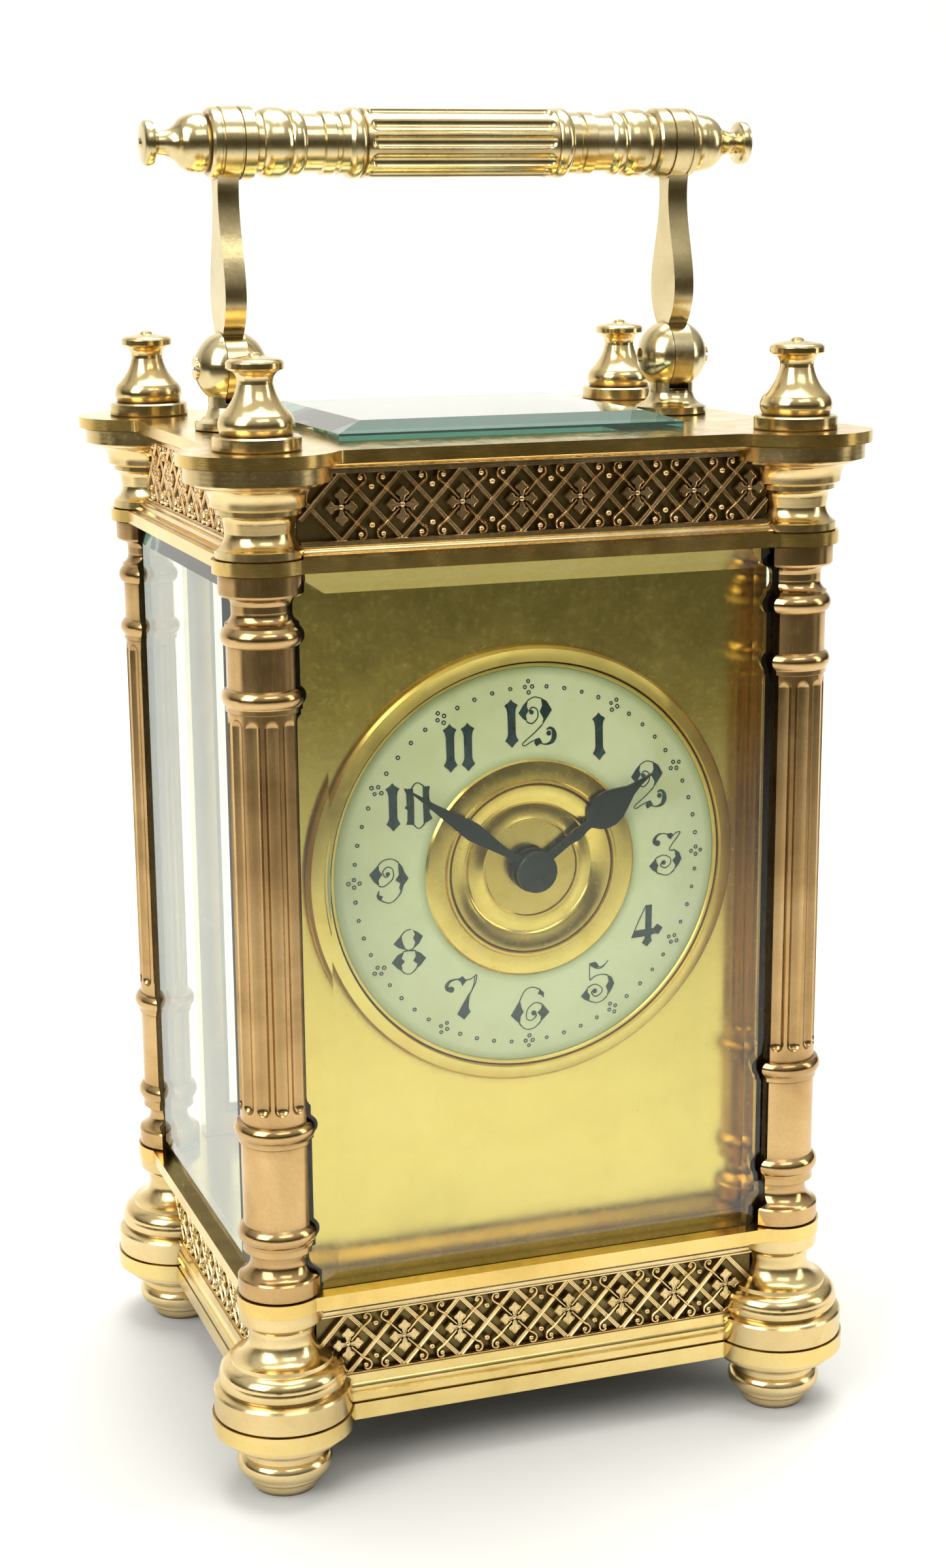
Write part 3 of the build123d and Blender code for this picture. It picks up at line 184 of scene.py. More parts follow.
# painted light: a brighter yellow copy of the gilt for the base, standing for the bright floor it mirrors
FLOORLIT_BASE_GILT = ((0.60, 0.43, 0.15), (0.80, 0.61, 0.24), (0.90, 0.73, 0.36))
DIAL = ((0.66, 0.44, 0.10), (0.86, 0.60, 0.17), (0.93, 0.70, 0.24))
WATCH = ((0.50, 0.37, 0.14), (0.70, 0.54, 0.24), (0.80, 0.66, 0.34))

gilt = brass("gilt_brass", *GILT)
gilt_handle = brass("gilt_handle", *SKYLIT_HANDLE_GILT)
gilt_plate = brass("gilt_plates", *RAIL_GILT, brushed=(20.0, 20.0, 200.0))
gilt_turned = brass("gilt_turned", *GILT, rings="Z")
# the columns' flutes take a deeper painted shade in their hollows
gilt_column = brass("gilt_columns", *SHADED_COLUMN_GILT, rough=(0.10, 0.20), brushed=(200.0, 200.0, 10.0),
                    crevice=0.0014, shaded=(0.40, 0.97))
gilt_base = brass("gilt_base", *FLOORLIT_BASE_GILT, brushed=(20.0, 20.0, 200.0))
gilt_fret = brass("gilt_fretwork", *FRET, rough=(0.14, 0.26), crevice=0.0004, patches=140.0)
gilt_base_fret = brass("gilt_base_fretwork", *GILT, rough=(0.14, 0.26), crevice=0.0004, patches=140.0)
# painted shade: the liners' brass is darkened nearly to black, standing for the shade behind the friezes
liner_shade_gilt = brass("liner_shade_gilt", (0.08, 0.055, 0.02), (0.15, 0.11, 0.04), (0.24, 0.18, 0.07),
                   rough=(0.26, 0.44))
satin_gilt = brass("satin_gilt", (0.76, 0.53, 0.13), (0.86, 0.62, 0.17), (0.90, 0.67, 0.21),
                   rough=(0.15, 0.21), patches=38.0, crevice=0.002, grain=0.12)
dial_gilt = brass("dial_gilt", *DIAL, rough=(0.14, 0.26), patches=110.0)
bezel_gilt = brass("bezel_gilt", (0.86, 0.58, 0.14), (0.98, 0.70, 0.20), (0.99, 0.78, 0.27),
                   rough=(0.30, 0.40), patches=110.0)
watch_brass = brass("movement_brass", *WATCH, rough=(0.18, 0.30), brushed=(160.0, 160.0, 12.0))


def steel(name, dark, light, rough=(0.22, 0.40), metallic=1.0):
    s = Shader(name)
    patch = s.noise(150.0, 4.0, 0.6, distortion=0.5)
    scratch = s.noise(60.0, 3.0, 0.7, vector=s.stretched((40.0, 40.0, 8.0)))
    colour = s.ramp(patch, (0.30, dark), (0.70, light))
    colour = s.blend(s.span(s.noise(1500.0), 0.5, 0.75, 0.0, 0.35), colour, solid(*dark))
    roughness = s.math("ADD", s.span(patch, 0.3, 0.7, *rough), s.span(scratch, 0.5, 0.8, 0.0, 0.15))
    normal = s.bump(scratch, 0.25, 0.00005)
    return s.set(Base_Color=colour, Metallic=metallic, Roughness=roughness, Normal=normal)


blued = steel("blued_steel", (0.006, 0.010, 0.010), (0.018, 0.028, 0.028), metallic=0.35)
blue_spring = steel("blued_spring", (0.010, 0.018, 0.06), (0.03, 0.06, 0.16))
bright_steel = steel("steel", (0.26, 0.25, 0.23), (0.52, 0.51, 0.49))


ENAMEL_RIM_SHADE = (0.0048, 0.0062)      # metres from the middle of the ring, over which painted shade deepens its colour


def enamel():
    """Pale green-cream glaze, with painted shade deepening its colour towards the ring's two edges."""
    s = Shader("glazed_enamel")
    cloud = s.noise(95.0, 4.0, 0.55, distortion=0.4)
    speck = s.noise(1100.0, 2.0)
    colour = s.ramp(cloud, (0.28, (0.62, 0.61, 0.34)), (0.52, (0.70, 0.69, 0.42)),
                    (0.75, (0.76, 0.74, 0.50)))
    colour = s.blend(s.span(speck, 0.55, 0.8, 0.0, 0.15), colour, solid(0.50, 0.56, 0.27))
    spread = s.add("ShaderNodeMapping", Vector=s.place)
    spread.inputs["Location"].default_value = (0.0, 0.0, -DIAL_Z * MM)
    spread.inputs["Scale"].default_value = (1.0, 0.0, 1.0)
    radius = s.add("ShaderNodeVectorMath", Vector=spread.outputs["Vector"])
    radius.operation = "LENGTH"
    middle = (RING_INNER + RING_OUTER) / 2 * MM
    from_middle = s.math("ABSOLUTE", s.math("SUBTRACT", radius.outputs["Value"], middle))
    # painted shade: the glaze darkens towards the ring's inner and outer edges
    rim = s.span(from_middle, *ENAMEL_RIM_SHADE)
    colour = s.blend(s.math("MULTIPLY", rim, 0.8), colour, solid(0.36, 0.42, 0.18))
    ripple = s.noise(160.0, 2.0)
    hairline = s.noise(36.0, 2.0, 0.8, vector=s.stretched((4.0, 4.0, 70.0)))
    roughness = s.math("ADD", s.span(cloud, 0.3, 0.7, 0.07, 0.16),
                       s.span(hairline, 0.62, 0.75, 0.0, 0.18))
    normal = s.bump(hairline, 0.05, 0.00005, s.bump(ripple, 0.12, 0.0001))
    s.surface.inputs["Coat Weight"].default_value = 0.4
    s.surface.inputs["Coat Roughness"].default_value = 0.05
    return s.set(Base_Color=colour, Roughness=roughness, Normal=normal)


def numeral_paint():
    s = Shader("numeral_enamel")
    cloud = s.noise(260.0, 3.0, 0.6)
    speck = s.noise(2600.0, 2.0)
    colour = s.ramp(cloud, (0.35, (0.014, 0.030, 0.030)), (0.66, (0.030, 0.054, 0.056)),
                    (0.82, (0.065, 0.105, 0.110)))
    colour = s.blend(s.span(speck, 0.5, 0.75, 0.0, 0.30), colour, solid(0.012, 0.022, 0.024))
    roughness = s.span(cloud, 0.3, 0.7, 0.18, 0.36)
    return s.set(Base_Color=colour, Roughness=roughness, Normal=s.bump(speck, 0.2, 0.00003))


GLASS_IOR = 1.5
GLASS_GREEN = (0.23, 0.67, 0.61)
BEVEL_EDGE = 0.0001                # metres over which the bevel's colour sets in
SIDE_BEVEL = 0.0222                # metres from the middle of the pane, along Y
ROOF_BEVEL = 0.018


def glass(name, tint, shade, density=50.0, bevel=None):
    """Clear plate glass, green through its thickness, with faint wipe marks. bevel holds the distance
    from the middle, along Y, at which the bevel starts, the green painted onto it for the light refracted
    in the bevel, and how much light it lets by."""
    s = Shader(name)
    cloud = s.noise(35.0, 3.0, 0.6, distortion=0.8)
    wipe = s.noise(14.0, 4.0, 0.7, vector=s.stretched((30.0, 30.0, 4.0)), distortion=0.4)
    colour = s.ramp(cloud, (0.3, shade), (0.7, tint))
    roughness = s.span(wipe, 0.60, 0.90, 0.0, 0.02)
    clear = 1.0
    if bevel is not None:
        start, painted_bevel_green, passed = bevel
        across = s.math("ABSOLUTE", s.add("ShaderNodeSeparateXYZ", Vector=s.place).outputs["Y"])
        sloped = s.span(across, start - BEVEL_EDGE, start + BEVEL_EDGE)
        # painted refraction: the bevel turns a deeper green and lets less light through
        colour = s.blend(sloped, colour, solid(*painted_bevel_green))
        clear = s.span(sloped, 0.0, 1.0, 1.0, passed)
    s.surface.inputs["IOR"].default_value = GLASS_IOR
    body = s.add("ShaderNodeVolumeAbsorption", Color=solid(*GLASS_GREEN), Density=density)
    s.tree.links.new(body.outputs["Volume"], s.tree.nodes["Material Output"].inputs["Volume"])
    return s.set(Base_Color=colour, Roughness=roughness, Transmission_Weight=clear,
                 Normal=s.bump(cloud, 0.01, 0.0001))


chapter_enamel = enamel()
numeral_enamel = numeral_paint()
clear_glass = glass("bevelled_glass", (0.98, 0.99, 0.95), (0.94, 0.97, 0.91))
# painted shade: the side panes take a darker grey-green tint than the front panes of the same glass
side_glass = glass("bevelled_side_glass", (0.86, 0.89, 0.83), (0.80, 0.85, 0.78),
                   bevel=(SIDE_BEVEL, (0.03, 0.085, 0.07), 0.9))
roof_glass = glass("bevelled_roof_glass", (0.97, 0.99, 0.96), (0.93, 0.97, 0.92), density=25.0,
                   bevel=(ROOF_BEVEL, (0.26, 0.44, 0.36), 0.7))

CAD_LOOKS = {
    gilt_handle: ("handle_arm_left", "handle_arm_right", "handle_grip", "handle_end_buttons",
                  "handle_posts", "handle_pivot_pins"),
    gilt: ("door_frame", "door_hinge_pins", "door_knob", "tie_rods", "top_moulding"),
    gilt_plate: ("upper_rail_plate", "lower_rail_plate", "top_plate"),
    gilt_turned: ("capitals", "finials", "pedestals", "feet"),
    gilt_column: ("column_front_left", "column_front_right", "column_rear_left", "column_rear_right"),
    gilt_base: ("bottom_plate", "base_moulding"),
    liner_shade_gilt: ("frieze_liners",),
    satin_gilt: ("dial_mask",),
    dial_gilt: ("dial_centre",),
    bezel_gilt: ("dial_bezel",),
    chapter_enamel: ("chapter_ring",),
    blued: ("minute_hand", "hand_collet", "hour_hand"),
    blue_spring: ("hairspring",),
    watch_brass: ("movement_front_plate", "movement_back_plate", "movement_pillars", "platform",
                  "balance_cock", "balance_wheel", "barrel", "hour_wheel", "minute_wheel",
                  "centre_wheel", "contrate_wheel", "third_wheel"),
    clear_glass: ("front_glass", "door_glass"),
    side_glass: ("left_glass", "right_glass"),
    roof_glass: ("top_glass",),
}
looks = {node: material for material, nodes in CAD_LOOKS.items() for node in nodes}
for node_name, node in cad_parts.items():
    node.data.materials.clear()
    node.data.materials.append(looks.get(node_name, bright_steel))
for pane in (clear_glass, side_glass, roof_glass):
    for node_name in CAD_LOOKS[pane]:
        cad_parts[node_name].visible_shadow = False


# ---- mesh helpers ---------------------------------------------------------------------------
SHARP_EDGE = math.radians(40.0)
BEAD_SIDES = 12
BEAD_RINGS = 4


class Shape:
    """Vertices in millimetres and faces, gathered piece by piece."""

    def __init__(self):
        self.points = []
        self.faces = []

    def take(self, points, faces):
        first = len(self.points)
        self.points += points
        self.faces += [tuple(first + i for i in face) for face in faces]

    def build(self, name, material, body, smooth=True):
        mesh = bpy.data.meshes.new(name)
        mesh.from_pydata([Vector(p) * MM for p in self.points], [], self.faces)
        mesh.update()
        if smooth:
            mesh.shade_smooth()
            mesh.set_sharp_from_angle(angle=SHARP_EDGE)
        mesh.materials.append(material)
        piece = bpy.data.objects.new(name, mesh)
        bpy.context.scene.collection.objects.link(piece)
        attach(piece, body)
        return piece


def swept(shape, place, path, profile):
    """A closed bar along path in the (u, v) plane. profile holds (share of the half width, height)
    and path holds (u, v, half width)."""
    count = len(profile)
    points = []
    for i, (u, v, half) in enumerate(path):
        before = path[max(i - 1, 0)]
        after = path[min(i + 1, len(path) - 1)]
        along = Vector((after[0] - before[0], after[1] - before[1])).normalized()
        points += [place(u - along.y * half * side, v + along.x * half * side, height)
                   for side, height in profile]
    faces = [tuple(reversed(range(count))), tuple(range(len(points) - count, len(points)))]
    for i in range(len(path) - 1):
        a = i * count
        b = a + count
        faces += [(a + k, a + (k + 1) % count, b + (k + 1) % count, b + k) for k in range(count)]
    shape.take(points, faces)


def circle(u, v, radius, sides):
    """Corners of a regular polygon round (u, v)."""
    turns = [j * math.tau / sides for j in range(sides)]
    return [(u + radius * math.cos(turn), v + radius * math.sin(turn)) for turn in turns]


def bead(shape, place, u, v, radius, base, height):
    """A domed bead standing on the plane."""
    points = []
    for k in range(BEAD_RINGS):
        lift = math.sin(k / BEAD_RINGS * math.pi / 2)
        reach = radius * math.cos(k / BEAD_RINGS * math.pi / 2)
        points += [place(a, b, base + height * lift) for a, b in circle(u, v, reach, BEAD_SIDES)]
    points.append(place(u, v, base + height))
    steps = [(j, (j + 1) % BEAD_SIDES) for j in range(BEAD_SIDES)]
    faces = [tuple(reversed(range(BEAD_SIDES)))]
    for k in range(BEAD_RINGS - 1):
        a = k * BEAD_SIDES
        b = a + BEAD_SIDES
        faces += [(a + j, a + after, b + after, b + j) for j, after in steps]
    last = (BEAD_RINGS - 1) * BEAD_SIDES
    faces += [(last + j, last + after, BEAD_RINGS * BEAD_SIDES) for j, after in steps]
    shape.take(points, faces)


def slab(shape, place, corners, low, high):
    """A flat piece with any outline, its top at high."""
    count = len(corners)
    points = [place(u, v, low) for u, v in corners] + [place(u, v, high) for u, v in corners]
    caps = tessellate_polygon([[Vector((u, v, 0.0)) for u, v in corners]])
    faces = [(a + count, b + count, c + count) for a, b, c in caps]
    faces += [(c, b, a) for a, b, c in caps]
    faces += [(j, (j + 1) % count, count + (j + 1) % count, count + j) for j in range(count)]
    shape.take(points, faces)


def smoothed(points, steps):
    """Catmull-Rom curve through points of any length."""
    ends = [points[0]] + list(points) + [points[-1]]
    curve = []
    for p0, p1, p2, p3 in zip(ends, ends[1:], ends[2:], ends[3:]):
        for k in range(steps):
            t = k / steps
            curve.append(tuple(0.5 * (2 * b + (c - a) * t + (2 * a - 5 * b + 4 * c - d) * t * t
                                      + (3 * b - a - 3 * c + d) * t ** 3)
                               for a, b, c, d in zip(p0, p1, p2, p3)))
    curve.append(tuple(points[-1]))
    return curve


# ---- pierced friezes ------------------------------------------------------------------------
PITCH = 7.84               # from rosette to rosette
FACE = 0.50                # thickness of the pressed strip
RIDGED = ((-1.0, 0.02), (-1.0, 0.22), (-0.80, 0.32), (-0.45, 0.31), (-0.25, 0.22), (0.25, 0.22),
          (0.45, 0.31), (0.80, 0.32), (1.0, 0.22), (1.0, 0.02))
WIRE = ((-1.0, 0.02), (-0.9, 0.26), (-0.35, 0.40), (0.35, 0.40), (0.9, 0.26), (1.0, 0.02))
BAR_HALF = 0.34
BAR_FOOT = 0.1             # points of the bar's profile below this stay where they are
BAR_LIFTS = (0.02, -0.04)  # the rising bars cross over the falling ones
BORDER_HALF = 0.16
BORDER_INSET = 0.02
CASE_FRONT = 29.3          # from the middle of the case to the frieze strip's seat
CASE_SIDE = 36.0
STRIP_PROUD = 1.9
STRIP_REACH = {"front": 31.3, "back": 31.3, "right": 24.6, "left": 24.6}
PETAL_EDGE = ((-1.0, 0.02), (-0.9, 0.34), (-0.35, 0.47), (0.35, 0.47), (0.9, 0.34), (1.0, 0.02))
RAIL = ((-1.0, 0.02), (-1.0, 0.36), (-0.6, 0.49), (0.6, 0.49), (1.0, 0.36), (1.0, 0.02))


def side_places():
    """For each side of the case, how a point (along, up, out) of its frieze lies in the frame."""
    front = CASE_FRONT + STRIP_PROUD
    side = CASE_SIDE + STRIP_PROUD
    return {
        "front": lambda u, v, w: (u, -front + FACE - w, v),
        "back": lambda u, v, w: (-u, front - FACE + w, v),
        "right": lambda u, v, w: (side - FACE + w, u, v),
        "left": lambda u, v, w: (-side + FACE - w, -u, v),
    }


PETAL = ((0.30, 0.10), (0.62, 0.24), (0.98, 0.34), (1.16, 0.66), (1.46, 0.74), (1.66, 0.40), (2.12, 0.0))
PETAL_RIM = PETAL + tuple((u, -v) for u, v in reversed(PETAL[:-1]))
PETAL_TOP = 0.36
PETAL_RIM_HALF = 0.10
MIDRIB = ((0.5, 0.07), (1.2, 0.09), (1.75, 0.05))      # distance along the petal, half width
PETAL_SIZES = (0.98, 1.08, 0.98, 1.08)
# A scroll, as (along, up, half width) from its rosette, for the quarter to the right and above.
SCROLL = ((0.45, 0.45, 0.17), (1.35, 1.40, 0.19), (2.10, 2.20, 0.20), (2.85, 2.72, 0.22),
          (3.22, 3.25, 0.19), (3.05, 3.85, 0.17), (2.55, 4.00, 0.16), (2.28, 3.70, 0.17))
SCROLL_EYE = (2.48, 3.45)
GAP_UP = 2.35              # from the middle line to the beads between the rosettes
ROSETTE_BEAD = (0.46, 0.12, 0.36)      # radius, foot, height
SCROLL_BEAD = (0.40, 0.08, 0.40)
GAP_BEAD = (0.44, 0.08, 0.42)
ROSETTE_ROOM = 0.4         # what a piece must keep from the end of the strip
STEM_ROOM = 0.3
GAP_ROOM = 1.5
LAST_OVERHANG = 2.0        # how far past the end a rosette still sends scrolls back in


def petal(shape, place, u, v, turn, size):
    """One petal of a rosette, pointing along turn: a lobed leaf with a raised edge and midrib."""
    c = math.cos(turn) * size
    s = math.sin(turn) * size
    rim = [(u + a * c - b * s, v + a * s + b * c) for a, b in PETAL_RIM]
    slab(shape, place, rim, 0.04, PETAL_TOP)
    swept(shape, place, [(x, y, PETAL_RIM_HALF) for x, y in smoothed(rim, 2)], PETAL_EDGE)
    swept(shape, place, [(u + a * c, v + a * s, half) for a, half in MIDRIB], WIRE)


def cut_at(start, end, edge):
    """The point of the line from start to end at which u is edge."""
    share = (edge - start[0]) / (end[0] - start[0])
    return (edge, start[1] + (end[1] - start[1]) * share)


def frieze(shape, place, reach, phase, middle, half):
    """Lattice of ridged bars, rosettes and scrolls between |u| <= reach."""
    def bar(start, end, lift):
        """A bar from start to end, which lies further along u, cut off at the ends of the strip."""
        if start[0] < -reach:
            start = cut_at(start, end, -reach)
        if end[0] > reach:
            end = cut_at(start, end, reach)
        profile = [(a, h + lift if h > BAR_FOOT else h) for a, h in RIDGED]
        swept(shape, place, [(*start, BAR_HALF), (*end, BAR_HALF)], profile)

    def rosette(centre):
        for quarter, size in enumerate(PETAL_SIZES):
            petal(shape, place, centre, middle, quarter * math.pi / 2, size)
        bead(shape, place, centre, middle, *ROSETTE_BEAD)

    def scroll(centre, right, up):
        stem = [(centre + right * u, middle + up * v, thick) for u, v, thick in SCROLL]
        if abs(stem[0][0]) < reach - STEM_ROOM:
            swept(shape, place, smoothed(stem, 3), PETAL_EDGE)
            eye_u, eye_v = SCROLL_EYE
            bead(shape, place, centre + right * eye_u, middle + up * eye_v, *SCROLL_BEAD)

    low = middle - half
    high = middle + half
    first = -math.ceil((reach + abs(phase)) / PITCH) - 1
    for k in range(first, -first + 1):
        centre = phase + (k + 0.5) * PITCH
        if centre < reach and centre + PITCH > -reach:
            bar((centre, low), (centre + PITCH, high), BAR_LIFTS[0])
            bar((centre, high), (centre + PITCH, low), BAR_LIFTS[1])
        if abs(centre) < reach - ROSETTE_ROOM:
            rosette(centre)
        for right in (-1, 1):
            for up in (-1, 1):
                gap = centre + right * PITCH / 2
                if abs(gap) > reach - GAP_ROOM or abs(centre) > reach + LAST_OVERHANG:
                    continue
                scroll(centre, right, up)
                if right == 1:
                    bead(shape, place, gap, middle + up * GAP_UP, *GAP_BEAD)
    for v in (low + BORDER_INSET, high - BORDER_INSET):
        swept(shape, place, [(-reach, v, BORDER_HALF), (reach, v, BORDER_HALF)], RAIL)


def frieze_set(name, node, phase, middle, half, edge, material):
    """The friezes of all four sides. edge is the low and high end of the plain rail along each."""
    shape = Shape()
    rail = sum(edge) / 2
    rail_half = (edge[1] - edge[0]) / 2
    for side, place in side_places().items():
        reach = STRIP_REACH[side]
        frieze(shape, place, reach, phase, middle, half)
        swept(shape, place, [(-reach, rail, rail_half), (reach, rail, rail_half)], RAIL)
    piece = shape.build(name, material, "case")
    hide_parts(node)


# Phase of the pattern, height of its middle line, half its height, and the rail's two edges.
BASE_FRIEZE = (0.0, 19.27, 4.30, (23.62, 24.58))
TOP_FRIEZE = (1.38, 129.60, 4.22, (133.86, 134.18))
frieze_set("base_filigree", "base_fretwork", *BASE_FRIEZE, gilt_base_fret)
frieze_set("top_filigree", "top_fretwork", *TOP_FRIEZE, gilt_fret)


# ---- numerals and minute track --------------------------------------------------------------
PAINT = 0.05               # how far the painted figures stand proud of the enamel
PAINT_ROOT = -0.03         # and how far they reach into it
FILL_PROUD = 0.004         # filled shapes and dots lie over the hairlines
DOT_PROUD = 0.008
DOT_SIDES = 12
RING_INNER_Y = -26.15      # front face of the chapter ring at its inner edge
RING_SLOPE = 1.0           # how much further back its outer edge lies
RING_DOME = 0.25


def enamel_y(r):
    """Front surface of the domed chapter ring at radius r."""
    t = min(max((r - RING_INNER) / (RING_OUTER - RING_INNER), 0.0), 1.0)
    return RING_INNER_Y + RING_SLOPE * t - RING_DOME * 4.0 * t * (1.0 - t)


def on_enamel(u, v, w):
    return (u, enamel_y(math.hypot(u, v)) - w, DIAL_Z + v)


ONE = ((0.0, 3.15), (0.30, 2.78), (0.92, 2.38), (0.66, 1.98), (0.55, 1.40), (0.53, -1.30), (0.62, -1.72),
       (0.92, -2.22), (0.42, -2.66), (0.0, -3.15))
ONE = ONE + tuple((-u, v) for u, v in reversed(ONE[1:-1]))

